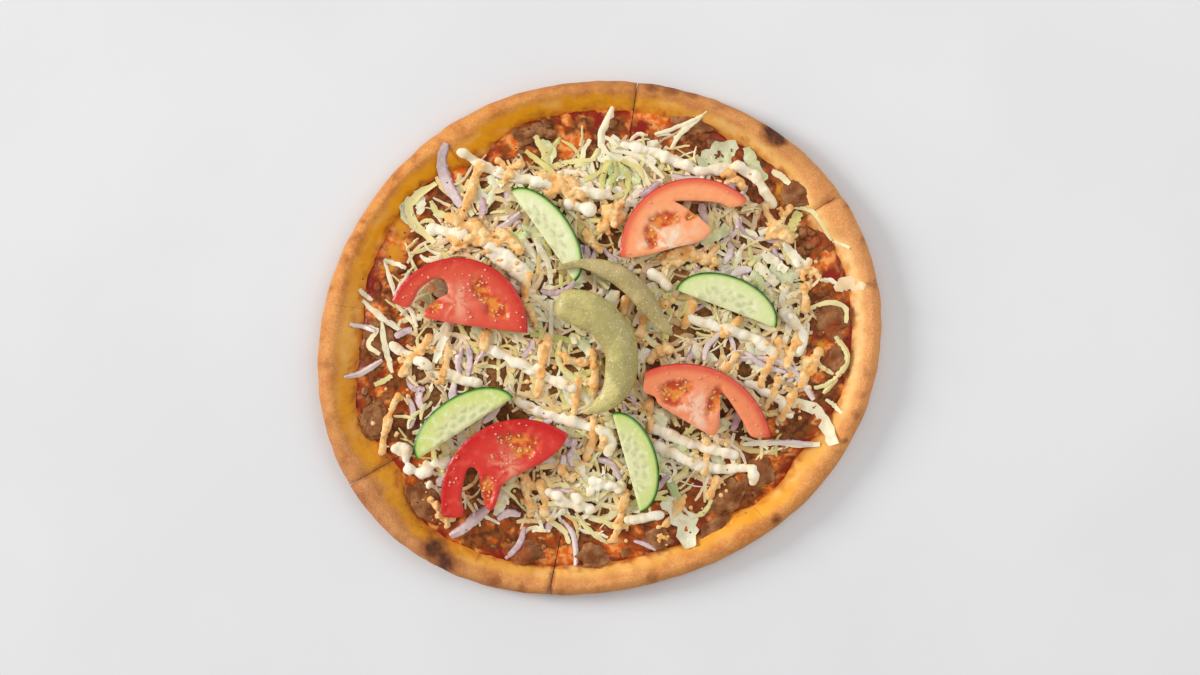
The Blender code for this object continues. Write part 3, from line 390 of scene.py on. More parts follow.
class Board:
    """Lays out and joins the nodes of one material or group."""

    def __init__(self, tree):
        self.tree = tree

    def put(self, kind, inputs=(), **settings):
        node = self.tree.nodes.new("ShaderNode" + kind)
        for name, value in settings.items():
            setattr(node, name, value)
        for name, value in dict(inputs).items():
            self.join(value, node.inputs[name])
        return node

    def join(self, value, socket):
        """Link another node's output, or set a number or a colour given as on screen."""
        if isinstance(value, bpy.types.NodeSocket):
            self.tree.links.new(value, socket)
        else:
            socket.default_value = srgb(value) if isinstance(value, str) else value

    def mix(self, first, second, share):
        """Blend two colours."""
        return self.put("Mix", {0: share, 6: first, 7: second}, data_type="RGBA").outputs[2]

    def tint(self, colour, code, mask, most):
        """Blend one more colour in where the mask says, by at most this share."""
        return self.mix(colour, code, self.sums("MULTIPLY", mask, most))

    def sums(self, operation, first, second=0.0):
        return self.put("Math", {0: first, 1: second}, operation=operation).outputs[0]

    def span(self, value, low, high, to_low=0.0, to_high=1.0):
        """Stretch a value smoothly between two levels."""
        inputs = {"Value": value, "From Min": low, "From Max": high, "To Min": to_low, "To Max": to_high}
        return self.put("MapRange", inputs, interpolation_type="SMOOTHSTEP").outputs[0]

    def place(self):
        return self.put("TexCoord").outputs["Object"]

    def clouds(self, scale, detail):
        return self.put("TexNoise", {"Vector": self.place(), "Scale": scale, "Detail": detail}).outputs[0]

    def painted(self, name):
        """The three colours and the alpha of a painted attribute, each as a value."""
        node = self.put("Attribute", attribute_name=name)
        parts = self.put("SeparateColor", {"Color": node.outputs["Color"]})
        return [*parts.outputs, node.outputs["Alpha"]]

    def group(self, name, **inputs):
        node = self.put("Group", node_tree=bpy.data.node_groups[name])
        for key, value in inputs.items():
            self.join(value, node.inputs[key.replace("_", " ")])
        return node.outputs[0]

    def mottle(self, scale, low, high):
        return self.group("mottle", Scale=scale, Low=low, High=high)

    def grain(self, scale, distance, strength, fine_share=0.4):
        """Bumps of two sizes, as a normal."""
        height = self.group("grain", Scale=scale, Fine_Share=fine_share)
        return self.put("Bump", {"Height": height, "Distance": distance, "Strength": strength}).outputs[0]


def new_group(name, inputs, output, kind="NodeSocketFloat"):
    """An empty shader node group with its sockets; gives its board, its inputs and its output."""
    tree = bpy.data.node_groups.new(name, "ShaderNodeTree")
    for key, value in inputs:
        tree.interface.new_socket(key, in_out="INPUT", socket_type="NodeSocketFloat").default_value = value
    tree.interface.new_socket(output, in_out="OUTPUT", socket_type=kind)
    return Board(tree), tree.nodes.new("NodeGroupInput").outputs, tree.nodes.new("NodeGroupOutput").inputs[0]


def make_groups():
    """Effects that several finishes share."""
    board, given, out = new_group("mottle", (("Scale", 100), ("Low", 0.4), ("High", 0.6), ("Detail", 4)), "Mask")
    cloud = board.clouds(given["Scale"], given["Detail"])
    board.join(board.span(cloud, given["Low"], given["High"]), out)

    board, given, out = new_group("grain", (("Scale", 400), ("Fine Share", 0.4)), "Height")
    coarse = board.clouds(given["Scale"], 3.0)
    finer_scale = board.sums("MULTIPLY", given["Scale"], 4.0)
    fine = board.clouds(finer_scale, 2.0)
    fine_part = board.sums("MULTIPLY", fine, given["Fine Share"])
    board.join(board.sums("ADD", coarse, fine_part), out)

    board, given, out = new_group("speckle", (("Scale", 900), ("Size", 0.2)), "Mask")
    cells = board.put("TexVoronoi", {"Vector": board.place(), "Scale": given["Scale"], "Randomness": 1.0})
    edge = board.sums("MULTIPLY", given["Size"], 0.6)
    board.join(board.span(cells.outputs["Distance"], given["Size"], edge), out)


def finish(name, build, **constants):
    """A Principled material. build(board) gives its colour and, where they vary, its normal and roughness."""
    made = bpy.data.materials.new(name)
    made.use_nodes = True
    board = Board(made.node_tree)
    shader = made.node_tree.nodes["Principled BSDF"]
    for key, value in constants.items():
        shader.inputs[key.replace("_", " ")].default_value = value
    for key, value in zip(("Base Color", "Normal", "Roughness"), build(board)):
        board.join(value, shader.inputs[key])
    return made


def crust_look(board):
    golden, pale, char, flour = board.painted("bake")
    wet, red, toasted, _ = board.painted("stain")
    patches = board.mottle(95.0, 0.35, 0.68)
    small = board.mottle(420.0, 0.40, 0.68)
    grains = board.mottle(1100.0, 0.44, 0.62)
    tan = board.mix("e89c4c", "cf7c34", patches)
    # Pale lightens the tan here and the gold below: partly a paler bake, partly painted light on the side turned from
    # the key lamp, and painted highlights.
    tan = board.tint(tan, "f2ae74", pale, 0.6)
    tan = board.tint(tan, "f2ba7a", small, 0.28)
    tan = board.tint(tan, "b0744a", toasted, 0.65)
    tan = board.tint(tan, "b07043", grains, 0.4)
    rich = board.mix("f7a206", "ffd898", pale)
    rich = board.tint(rich, "d08a14", toasted, 0.7)
    rich = board.tint(rich, "fabc34", small, 0.3)
    rich = board.tint(rich, "dc9008", patches, 0.35)
    colour = board.mix(tan, rich, golden)
    colour = board.mix(colour, board.mix("d9801c", "a8421a", red), wet)
    ragged = board.clouds(260.0, 5.0)
    wavering = board.sums("MULTIPLY", board.sums("SUBTRACT", ragged, 0.5), 0.6)
    # Char, darkened along the cuts too, partly as painted shade in their grooves.
    burnt = board.sums("ADD", char, wavering)
    colour = board.mix(colour, "9a5a30", board.span(burnt, 0.10, 0.60, 0.0, 0.8))
    colour = board.mix(colour, "402520", board.span(burnt, 0.50, 1.15, 0.0, 0.92))
    dust = board.mottle(1400.0, 0.50, 0.64)
    colour = board.tint(colour, "ecccae", board.sums("MULTIPLY", flour, dust), 0.22)
    rough = board.span(golden, 0.0, 1.0, 0.85, 0.5)
    return colour, board.grain(420.0, 0.0005, 0.45, 0.6), rough


def sauce_look(board):
    red, orange, meaty, gold = board.painted("melt")
    patches = board.mottle(110.0, 0.40, 0.62)
    fine = board.mottle(300.0, 0.4, 0.62)
    base = board.mix("b0500e", "702c08", patches)
    colour = board.mix(base, "8c1c0a", red)
    # The paler cheese tone is painted highlight, the glossy spots of melted cheese.
    cheese = board.mix("dd6006", "f0a058", fine)
    colour = board.mix(colour, cheese, orange)
    colour = board.tint(colour, "e9a02a", gold, 0.75)
    brown = board.mix("8a4c18", "5c2a0a", fine)
    colour = board.mix(colour, brown, meaty)
    rough = board.span(patches, 0.0, 1.0, 0.22, 0.42)
    return colour, board.grain(240.0, 0.0007, 0.45), rough


def meat_look(board):
    patches = board.mottle(130.0, 0.36, 0.64)
    fine = board.mottle(520.0, 0.42, 0.64)
    colour = board.mix("7c4014", "ad7648", patches)
    glaze = board.mottle(70.0, 0.52, 0.66)
    colour = board.tint(colour, "ac480e", glaze, 0.7)
    colour = board.tint(colour, "52301d", fine, 0.4)
    return colour, board.grain(300.0, 0.0005, 0.3, 0.5)


def core_look(board):
    patches = board.mottle(110.0, 0.38, 0.62)
    fine = board.mottle(480.0, 0.42, 0.62)
    # Meat brown kept dark, with darker patches: partly the meat under the salad, partly painted shade for the gaps
    # between the shreds.
    colour = board.mix("6c3e16", "9c642e", patches)
    colour = board.tint(colour, "38200c", fine, 0.5)
    return colour, board.grain(380.0, 0.0008, 0.6, 0.6)


def cabbage_look(board):
    green, stain, *_ = board.painted("shred")
    pale = board.mix("faeccb", "ecdb92", board.span(green, 0.0, 0.4))
    colour = board.mix(pale, "dccd66", board.span(green, 0.35, 0.7))
    colour = board.mix(colour, "b8c24a", board.span(green, 0.7, 1.0))
    colour = board.mix(colour, "f0b468", board.span(stain, 0.35, 0.52, 0.0, 0.5))
    # The highest stain values darken a shred: painted shade for shreds lying deep in the heap.
    colour = board.mix(colour, "a0764a", board.span(stain, 0.8, 0.97, 0.0, 0.6))
    rib = board.put("TexWave", {"Vector": board.put("UVMap").outputs[0], "Scale": 0.9, "Distortion": 2.0})
    veins = board.span(rib.outputs[1], 0.55, 0.9)
    colour = board.tint(colour, "fff8e4", veins, 0.35)
    damp = board.mottle(240.0, 0.5, 0.72)
    colour = board.tint(colour, "c8a468", damp, 0.28)
    return colour, board.grain(600.0, 0.0004, 0.35)


def onion_look(board):
    shade, _, across, _ = board.painted("shred")
    rim = board.span(across, 0.70, 1.0)
    colour = board.mix("ead8cc", "cba8ac", shade)
    colour = board.tint(colour, "8e4a70", rim, 0.9)
    streak = board.mottle(420.0, 0.45, 0.65)
    colour = board.tint(colour, "f2e9e6", streak, 0.4)
    return colour, board.grain(500.0, 0.0003, 0.4)


def leaf_look(board):
    green, stain, *_ = board.painted("shred")
    colour = board.mix("eee4c4", "bdca76", green)
    veins = board.mottle(300.0, 0.52, 0.66)
    colour = board.tint(colour, "f5f2de", veins, 0.55)
    colour = board.tint(colour, "93b055", board.span(stain, 0.5, 1.0), green)
    return colour, board.grain(380.0, 0.0006, 0.6)


def white_sauce_look(board):
    warm = board.mottle(160.0, 0.4, 0.66)
    colour = board.mix("fdf3dc", "f4dfb8", warm)
    specks = board.group("speckle", Scale=520.0, Size=0.14)
    rare = board.mottle(120.0, 0.56, 0.62)
    colour = board.tint(colour, "8a7a5a", board.sums("MULTIPLY", specks, rare), 0.8)
    return colour, board.grain(350.0, 0.0005, 0.35)


def peach_sauce_look(board):
    patches = board.mottle(190.0, 0.38, 0.64)
    colour = board.mix("f4b566", "fcd89c", patches)
    specks = board.mottle(900.0, 0.55, 0.68)
    colour = board.tint(colour, "e89a45", specks, 0.45)
    return colour, board.grain(600.0, 0.0006, 0.4, 0.7)


def tomato_look(board):
    depth, pocket, heart, pale = board.painted("cut")
    soft = board.clouds(190.0, 3.0)
    wall = board.mix("c8140f", "d93428", board.span(depth, 0.05, 0.6))
    wall_pale = board.mix("e65e40", "ffa46c", board.span(depth, 0.05, 0.4))
    colour = board.mix(wall, wall_pale, pale)
    colour = board.mix(colour, "ef7a5c", board.span(soft, 0.5, 0.75, 0.0, 0.3))
    light = board.mix("f09a78", "fbdcbc", pale)
    colour = board.mix(colour, light, heart)
    jelly = board.mix("c8421a", "ea8c36", board.span(soft, 0.40, 0.62))
    colour = board.mix(colour, jelly, pocket)
    colour = board.mix("b80d0a", colour, board.span(depth, 0.0, 0.07))
    rough = board.span(pocket, 0.0, 1.0, 0.34, 0.16)
    return colour, board.grain(450.0, 0.0005, 0.45), rough


def cucumber_look(board):
    out, seed, edge, paleness = board.painted("cut")
    rays = board.clouds(330.0, 3.0)
    flesh = board.mix("e2e29c", "d0da7c", board.span(out, 0.45, 0.9))
    flesh = board.tint(flesh, "f2f3c6", paleness, 0.8)
    flesh = board.mix(flesh, "f8f8da", board.span(rays, 0.5, 0.7, 0.0, 0.5))
    middle = board.mix(flesh, "e6e4b0", board.span(out, 0.62, 0.35, 0.0, 0.8))
    clear = board.sums("MULTIPLY", seed, board.span(rays, 0.35, 0.62, 0.12, 0.6))
    colour = board.mix(middle, "b4b886", clear)
    colour = board.mix(colour, "b8d470", board.span(edge, 0.87, 0.95, 0.0, 0.6))
    colour = board.mix(colour, "6fa238", board.span(edge, 0.935, 0.968))
    skin = board.mix("1c4416", "2f6a22", board.span(rays, 0.45, 0.6))
    colour = board.mix(colour, skin, board.span(edge, 0.968, 0.982))
    return colour, board.grain(420.0, 0.0005, 0.4)


def pepper_look(first, second):
    """A pickled pepper's finish between two olive tones."""
    def build(board):
        colour = board.mix(first, second, board.mottle(60.0, 0.42, 0.58))
        # Pale specks: painted highlights, glints on the wet skin.
        specks = board.group("speckle", Scale=620.0, Size=0.26)
        colour = board.tint(colour, "ece4b0", specks, 0.65)
        colour = board.tint(colour, "98884a", board.mottle(330.0, 0.55, 0.72), 0.5)
        return colour, board.grain(220.0, 0.0011, 0.6)
    return build


def plain_look(first, second, scale=300.0):
    """A finish of two near colours in patches."""
    return lambda board: (board.mix(first, second, board.mottle(scale, 0.4, 0.62)),)


def make_finishes():
    make_groups()
    soft = {"Subsurface_Weight": 0.12, "Subsurface_Radius": (0.9, 0.6, 0.35), "Subsurface_Scale": 0.0015}
    pickled = {"Roughness": 0.36, "Coat_Weight": 0.22, "Coat_Roughness": 0.2, "Specular_IOR_Level": 0.3, **soft}
    return {
        "crust": finish("baked_crust", crust_look, Specular_IOR_Level=0.2),
        "sauce": finish("sauce_and_cheese", sauce_look, Specular_IOR_Level=0.25),
        "meat": finish("kebab_meat", meat_look, Roughness=0.36, Specular_IOR_Level=0.25),
        "core": finish("salad_bed", core_look, Roughness=0.6, Specular_IOR_Level=0.2),
        "cabbage": finish("cabbage", cabbage_look, Roughness=0.42, Specular_IOR_Level=0.3, **soft),
        "onion": finish("red_onion", onion_look, Roughness=0.3, Specular_IOR_Level=0.4, **soft),
        "leaf": finish("green_leaf", leaf_look, Roughness=0.4, Specular_IOR_Level=0.3, **soft),
        "white": finish("white_sauce", white_sauce_look, Roughness=0.35, Specular_IOR_Level=0.22, **soft),
        "peach": finish("peach_sauce", peach_sauce_look, Roughness=0.45, Specular_IOR_Level=0.3, **soft),
        "tomato": finish("tomato_flesh", tomato_look, Coat_Weight=0.2, Coat_Roughness=0.12,
                         Specular_IOR_Level=0.3, **soft),
        "seed": finish("tomato_seed", plain_look("eeb878", "dc9650"), Roughness=0.25, **soft),
        "salt": finish("coarse_salt", plain_look("f4bca8", "ec9f8a"), Roughness=0.25, **soft),
        "cucumber": finish("cucumber_flesh", cucumber_look, Roughness=0.28, Coat_Weight=0.15,
                           Coat_Roughness=0.15, Specular_IOR_Level=0.3, **soft),
        "pepper_1": finish("pickled_pepper", pepper_look("b1a466", "ccbe76"), **pickled),
        "pepper_2": finish("greyer_pepper", pepper_look("ae9a64", "c6b27a"), **pickled),
        "fleck": finish("herb_flecks", plain_look("4c4426", "2c2014"), Roughness=0.7),
    }


# Finishing pieces


def show(name, data):
    item = bpy.data.objects.new(name, data)
    bpy.context.scene.collection.objects.link(item)
    return item


def finish_piece(name, shape, look, replaced=(), sharp=None):
    """Turn a mesh or bmesh of millimetres into a piece in metres that rides on the pizza."""
    mesh = mesh_of(shape) if isinstance(shape, bmesh.types.BMesh) else shape
    mesh.name = name
    mesh.transform(TO_METRES)
    mesh.shade_smooth()
    if sharp:
        mesh.set_sharp_from_angle(angle=math.radians(sharp))
    mesh.materials.clear()
    mesh.materials.append(look)
    made = show(name, mesh)
    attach(made, "root")
    if replaced:
        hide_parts(*replaced)
    return made


def mesh_of(body):
    """Close a bmesh as a mesh with its faces outwards."""
    bmesh.ops.recalc_face_normals(body, faces=body.faces[:])
    mesh = bpy.data.meshes.new("shape")
    body.to_mesh(mesh)
    body.free()
    return mesh


def places_of(mesh):
    spots = np.empty(len(mesh.vertices) * 3, np.float32)
    mesh.vertices.foreach_get("co", spots)
    return spots.reshape(-1, 3).astype(float)


def paint(mesh, name, columns):
    """Store up to four values for each vertex as one painted attribute."""
    values = np.ones((len(mesh.vertices), 4), np.float32)
    for index, column in enumerate(columns):
        values[:, index] = np.clip(column, 0, 1)
    layer = mesh.attributes.new(name, "FLOAT_COLOR", "POINT")
    layer.data.foreach_set("color", values.ravel())


def rise(value, low, high):
    """Go smoothly from 0 at one level to 1 at the other."""
    share = np.clip((np.asarray(value, float) - low) / (high - low), 0, 1)
    return share * share * (3 - 2 * share)


def lumps(x, y, size, seed):
    """Noise at one place, from about -1 to 1, with lumps of about this size."""
    return noise.noise(Vector((x / size, y / size, seed)))


def ripple(angle, fineness, seed):
    """Noise round the whole pizza, with shorter waves the finer it is."""
    return noise.noise(Vector((*place_at(angle, fineness), seed)))


def cloud(x, y, size, seed=0.0, depth=3):
    """Soft noise at each place, from about -1 to 1."""
    return np.array([noise.fractal(Vector((a / size, b / size, seed)), 0.6, 2.0, depth)
                     for a, b in zip(np.ravel(x), np.ravel(y))])


def smooth_route(points, steps):
    """Read a smooth curve through a few places, with evenly many steps between each two."""
    ends = [points[0] * 2 - points[1]] + list(points) + [points[-1] * 2 - points[-2]]
    route = []
    for before, start, end, after in zip(ends, ends[1:], ends[2:], ends[3:]):
        curve = interpolate_bezier(start, start + (end - before) / 6, end - (after - start) / 6, end, steps + 1)
        route += curve[:-1]
    return route + [points[-1]]


def route_through(points, steps):
    """A smooth curve through points of the view from above."""
    return smooth_route([Vector((*on_pizza(p), 0)) for p in points], steps)


def flat_route(route):
    return np.array([tuple(place)[:2] for place in route])


def lengths_along(line):
    return np.concatenate([[0], np.cumsum(np.hypot(*np.diff(line, axis=0).T))])


def respaced(line, count):
    """The same line with evenly spaced points, as an array (count, 2)."""
    along = lengths_along(line)
    wanted = np.linspace(0, along[-1], count)
    return np.column_stack([np.interp(wanted, along, line[:, axis]) for axis in (0, 1)])


def even_route(points, count):
    return respaced(flat_route(route_through(points, 12)), count)


def even_line(line, spacing):
    return respaced(line, max(2, int(lengths_along(line)[-1] / spacing)))


def closed(outline):
    return np.vstack([outline, outline[:1]])


# Crust, sauce and meat


def shaped_disc(section, steps, peak=None):
    """Make a closed disc round the middle. section(angle) gives its rings' radius and height, going up."""
    body = bmesh.new()
    bmesh.ops.create_circle(body, cap_ends=True, cap_tris=True, segments=steps, radius=1)
    pole = next(v for v in body.verts if not v.is_boundary)
    edges = [e for e in body.edges if e.is_boundary]
    for level in range(len(section(0))):
        if level:
            grown = bmesh.ops.extrude_edge_only(body, edges=edges)["geom"]
            edges = [g for g in grown if isinstance(g, bmesh.types.BMEdge) and g.is_boundary]
        for vert in {v for e in edges for v in e.verts}:
            turn = math.atan2(vert.co.y, vert.co.x)
            radius, height = section(round(math.degrees(turn) * steps / 360) % steps * 360 / steps)[level]
            vert.co = (radius * math.cos(turn), radius * math.sin(turn), height)
        if level == 0:
            pole.co.z = section(0)[0][1]
    grown = bmesh.ops.extrude_edge_only(body, edges=edges)["geom"]
    last = [g for g in grown if isinstance(g, bmesh.types.BMVert)]
    height = section(0)[-1][1] if peak is None else peak
    bmesh.ops.pointmerge(body, verts=last, merge_co=(0, 0, height))
    return body


def cut_wedge(whole, start, end):
    """Copy what lies between two straight cuts through the middle, each (angle, width)."""
    wedge = whole.copy()
    for (angle, width, *_), side in ((start, 1), (end, -1)):
        turn = math.radians(angle)
        inward = Vector((-math.sin(turn), math.cos(turn), 0)) * side
        everything = wedge.verts[:] + wedge.edges[:] + wedge.faces[:]
        bmesh.ops.bisect_plane(wedge, geom=everything, dist=0.02, plane_co=inward * width / 2,
                               plane_no=inward, clear_inner=True)
        bmesh.ops.holes_fill(wedge, edges=[e for e in wedge.edges if e.is_boundary], sides=0)
    bmesh.ops.triangulate(wedge, faces=[f for f in wedge.faces if len(f.verts) > 4])
    return wedge


@lru_cache(maxsize=None)
def crust_section(angle):
    """The solid's section, read smoothly, with finer unevenness along the rim."""
    edge, rim = edge_radius(angle), rim_width(angle)
    top = RIM_HEIGHT + RIM_UNEVENNESS * (ripple(angle, 3, 0) + 0.5 * ripple(angle, 9, 5))
    base = BASE_THICKNESS
    stations = [(edge - 3.5, 0), (edge - 0.8, 1.8), (edge, 4.8), (edge - 1.6, top - 2.6),
                (edge - 0.34 * rim, top), (edge - 0.58 * rim, top - 2.2), (edge - 0.83 * rim, base + 2.3),
                (edge - rim, base)]
    curve = smooth_route([Vector((radius, height, 0)) for radius, height in stations], 4)
    return [(place.x, place.y) for place in curve] + [(edge - rim - 4, base), (edge - rim - 40, base)]


def roughen(body, sizes, keep_below=0.4):
    """Push the surface in and out by layers of noise, each (feature size, amount), above the underside."""
    body.normal_update()
    for vert in body.verts:
        if vert.co.z > keep_below:
            amount = sum(much * noise.noise(vert.co / size) for size, much in sizes)
            vert.co += vert.normal * amount
            vert.co.z = max(vert.co.z, 0.05)


def polar(x, y):
    return np.degrees(np.arctan2(y, x)) % 360, np.hypot(x, y)


def around_table(function):
    """A function of the angle, read for many angles at once."""
    table = np.array([function(a) for a in range(361)])
    return lambda angles: np.interp(angles, np.arange(361), table)


EDGE_AT = around_table(edge_radius)
RIM_AT = around_table(rim_width)


def facing(angle, rows):
    """How much each angle faces the given sides, each (angle, spread, strength)."""
    return sum(strength * np.exp(-(((angle - centre + 180) % 360 - 180) / spread) ** 2)
               for centre, spread, strength in rows)


def cut_marks(x, y):
    """How deep the groove of a cut is at each place, and how dark it is painted there, partly browning and partly
    painted shade in the groove.
    """
    deep, brown = np.zeros(len(x)), np.zeros(len(x))
    for angle, _, depth, browning in CUTS:
        along, off = turned(x, y, -angle)
        near = np.where(along > 0, np.exp(-(off / GROOVE_HALF) ** 2), 0)
        deep, brown = deep + depth * near, brown + browning * near
    return deep, brown


def paint_crust(mesh):
    """Paint where the rim is golden, pale, charred and floury, and where it is wet, red and toasted. The pale is
    partly painted light, and the char is darkened along the cuts, partly as painted shade.
    """
    x, y, z = places_of(mesh).T
    angle, radius = polar(x, y)
    inset = EDGE_AT(angle) - radius
    share = inset / RIM_AT(angle)
    patches = cloud(x, y, 11.0, 2.0)
    left = np.clip(facing(angle, GOLDEN_SIDES), 0, 1)
    golden = rise(share + 0.10 * patches, 0.47 - 0.10 * left, 0.74 - 0.12 * left) * (0.9 + 0.1 * left)
    golden *= rise(z, 3.0, 6.0)
    char = 0.10 * np.clip(patches, 0, 1) + facing(angle, CHARRED_SIDES)
    for place, size, strength in CHAR_SPOTS:
        spot_x, spot_y = on_pizza(place)
        char = char + strength * np.exp(-(np.hypot(x - spot_x, y - spot_y) / (size * POINT_SIZE)) ** 2)
    # Browner on the underside, and darker along the cuts: partly browning, partly painted shade in their grooves.
    char = char + 0.2 * (1 - rise(z, 0.2, 2.5)) + 0.5 * cut_marks(x, y)[1]
    char = char * (1 + 0.35 * cloud(x, y, 2.5, 31.0))
    flour = np.clip(0.1 + facing(angle, FLOURY_SIDES) + 0.2 * patches, 0, 1)
    flour = flour * (1 - golden) * (1 - rise(char, 0.3, 0.7))
    streaks = np.array([noise.noise(Vector((a / 7, d / 4, 50))) for a, d in zip(angle, inset)])
    # Pale: partly a paler bake, partly painted light on the side turned from the key lamp, and pale streaks on the
    # golden band, partly painted highlight.
    pale = np.clip(facing(angle, PALE_SIDES), 0, 1)
    pale = np.clip(pale + 0.3 * rise(streaks, 0.1, 0.5) * golden, 0, 1)
    paint(mesh, "bake", (golden, pale, char, flour))
    wet = rise(share + 0.2 * cloud(x, y, 5.0, 14.0), 0.74, 0.98) * rise(z, 3.0, 5.0) * 0.8
    toasted = np.clip(facing(angle, TOASTED_SIDES) + 0.5 * rise(-inset, -4.5, -1.0), 0, 1)
    paint(mesh, "stain", (wet, rise(cloud(x, y, 9.0, 18.0), -0.1, 0.4), toasted))


def add_slices(whole, name, look, node, paint_it, press=None):
    """Cut a disc as the pizza is cut, and finish each slice in place of its node."""
    made = []
    for number, cut in enumerate(CUTS, 1):
        wedge = cut_wedge(whole, cut, CUTS[number % len(CUTS)])
        if press:
            press(wedge)
        mesh = mesh_of(wedge)
        paint_it(mesh)
        made.append(finish_piece(f"{name}_{number}", mesh, look, [f"{node}_{number}"], SHARP_CUT))
    whole.free()
    return made


def press_grooves(wedge):
    where = np.array([v.co[:2] for v in wedge.verts])
    for vert, depth in zip(wedge.verts, cut_marks(*where.T)[0]):
        vert.co.z -= depth * vert.co.z / RIM_HEIGHT


def add_crust(look):
    whole = shaped_disc(crust_section, CRUST_STEPS)
    roughen(whole, ((9.0, 0.55), (3.0, 0.14)))
    return add_slices(whole, "baked_slice", look, "crust", paint_crust, press_grooves)


@lru_cache(maxsize=None)
def sauce_section(angle):
    """A creeping edge and a lumpy top, thickening inwards."""
    creep = ripple(angle, 14, 9) + 0.5 * ripple(angle, 40, 2)
    reach = foot_radius(angle) + 1.0 + 1.9 * creep
    bottom = BASE_THICKNESS + GAP
    rings = [(reach - 0.8, bottom - 0.5), (reach, bottom - 0.3)]
    for step in range(SAUCE_RINGS):
        inset = 0.6 + SAUCE_RING_STEP * step
        x, y = place_at(angle, reach - inset)
        rough = (0.6 * lumps(x, y, 8, 1) + 0.28 * lumps(x, y, 3.2, 4)) * min(1, inset / 3)
        rings.append((reach - inset, bottom + SAUCE_THICKNESS * min(1, 0.1 + inset / 5.5) + rough))
    return rings + [(reach - 60, bottom + SAUCE_THICKNESS)]


def paint_sauce(mesh):
    """Paint how red, orange, dark and golden the sauce and its cheese are."""
    x, y, _ = places_of(mesh).T
    angle, radius = polar(x, y)
    inset = EDGE_AT(angle) - RIM_AT(angle) - radius
    broad, soft, fine = cloud(x, y, 14.0, 7.0), cloud(x, y, 8.0, 27.0), cloud(x, y, 3.4, 9.0)
    layers = [rise(-inset + 4 * soft, -5.0, -1.0) * 0.5 + rise(-soft, 0.2, 0.5) * 0.6,
              rise(soft + 0.3 * fine, 0.1, 0.4),
              rise(broad + 0.3 * fine, -0.05, 0.25) * rise(inset + 4 * soft, 1.5, 6.0),
              rise(fine - 0.6 * broad, 0.6, 0.85) * 0.7]
    for place, size, which in SAUCE_PATCHES:
        spot_x, spot_y = on_pizza(place)
        away = np.hypot(x - spot_x, y - spot_y) / (size * POINT_SIZE)
        near = 1 - rise(away + 0.5 * soft + 0.3 * fine, 0.6, 1.2)
        layers = [layer * (1 - near) + near * (index == which) for index, layer in enumerate(layers)]
    paint(mesh, "melt", layers)


def add_sauce(look):
    return add_slices(shaped_disc(sauce_section, CRUST_STEPS), "melted_cheese", look,
                      "sauce_cheese", paint_sauce)


def add_lump(body, centre, size, turn, seed, detail, roughness=0.34):
    """Add an uneven lump with a flattened underside: centre and half sizes in millimetres."""
    made = bmesh.ops.create_icosphere(body, subdivisions=detail, radius=1)["verts"]
    cosine, sine = math.cos(turn), math.sin(turn)
    for vert in made:
        spot = vert.co.copy()
        swell = 1 + roughness * noise.noise(spot * 1.5 + Vector((seed, 0, 0)))
        swell += 0.5 * roughness * noise.noise(spot * 4 + Vector((0, seed, 0)))
        x, y, z = (spot * swell)[:]
        z = max(z, -0.55)
        x, y = x * size[0], y * size[1]
        vert.co = Vector((x * cosine - y * sine, x * sine + y * cosine, z * size[2])) + Vector(centre)
    return made


def add_crumb(body, centre, size, draw, detail, roughness=0.5):
    """Add a small lump, turned and shaped by chance."""
    add_lump(body, centre, size, draw.uniform(0, math.pi), draw.uniform(0, 90), detail, roughness)


def in_slice(x, y, margin):
    """Whether a place keeps clear of every cut."""
    for angle, width, *_ in CUTS:
        along, off = turned(x, y, -angle)
        if along > 0 and abs(off) < margin + width / 2:
            return False
    return True


def add_meat(look, ground):
    """The shavings that stand out, and crumbs round the ring and in heaps."""
    made = []
    for number, (place, length, width, turn) in enumerate(KEBAB_PIECES, 1):
        x, y = on_pizza(place)
        body = bmesh.new()
        add_lump(body, (x, y, ground(x, y) + 0.3), (length * 0.6, width * 0.6, KEBAB_THICKNESS * 0.5),
                 math.radians(turn), number * 3.7, 5, 0.45)
        roughen(body, ((5.0, 0.45), (2.0, 0.12)), -1)
        made.append(finish_piece(f"kebab_shaving_{number}", body, look, [f"kebab_{number}"]))
    draw = random.Random(31)
    body = bmesh.new()
    placed = 0
    while placed < CRUMB_COUNT:
        angle = draw.uniform(0, 360)
        x, y = place_at(angle, foot_radius(angle) - 4 - draw.random() ** 1.3 * CRUMB_BAND)
        if placed % 2:
            x, y = (c + draw.gauss(0, 4) for c in on_pizza(draw.choice(CRUMB_HEAPS)))
        size = draw.uniform(0.8, 2.4)
        if in_slice(x, y, size) and math.hypot(x, y) < foot_beside(x, y) - 2:
            add_crumb(body, (x, y, ground(x, y) + 0.2 * size), (size * 1.3, size * 0.9, size * 0.5), draw, 3)
            placed += 1
    made.append(finish_piece("meat_crumbs", body, look))
    return made


def ray_tree(objects):
    """A search tree of the objects' faces, in millimetres."""
    corners, faces = [], []
    back = TO_METRES.inverted()
    for item in objects:
        first = len(corners)
        corners += [back @ v.co for v in item.data.vertices]
        faces += [[first + index for index in face.vertices] for face in item.data.polygons]
    return BVHTree.FromPolygons(corners, faces)


def surface_of(objects):
    """Give a function that finds the highest surface under a place, in millimetres."""
    tree = ray_tree(objects)

    def height(x, y):
        hit = tree.ray_cast(Vector((x, y, FAR)), Vector((0, 0, -1)))[0]
        return 0.0 if hit is None else hit.z
    return height


# The heap of salad


def heap_reach(angle):
    step = 360 / len(HEAP_REACHES)
    place = angle / step
    first = int(place) % len(HEAP_REACHES)
    share = (1 - math.cos(math.pi * (place - int(place)))) / 2
    smooth = HEAP_REACHES[first] * (1 - share) + HEAP_REACHES[(first + 1) % len(HEAP_REACHES)] * share
    return smooth - 4 + 4 * ripple(angle, 7, 11)


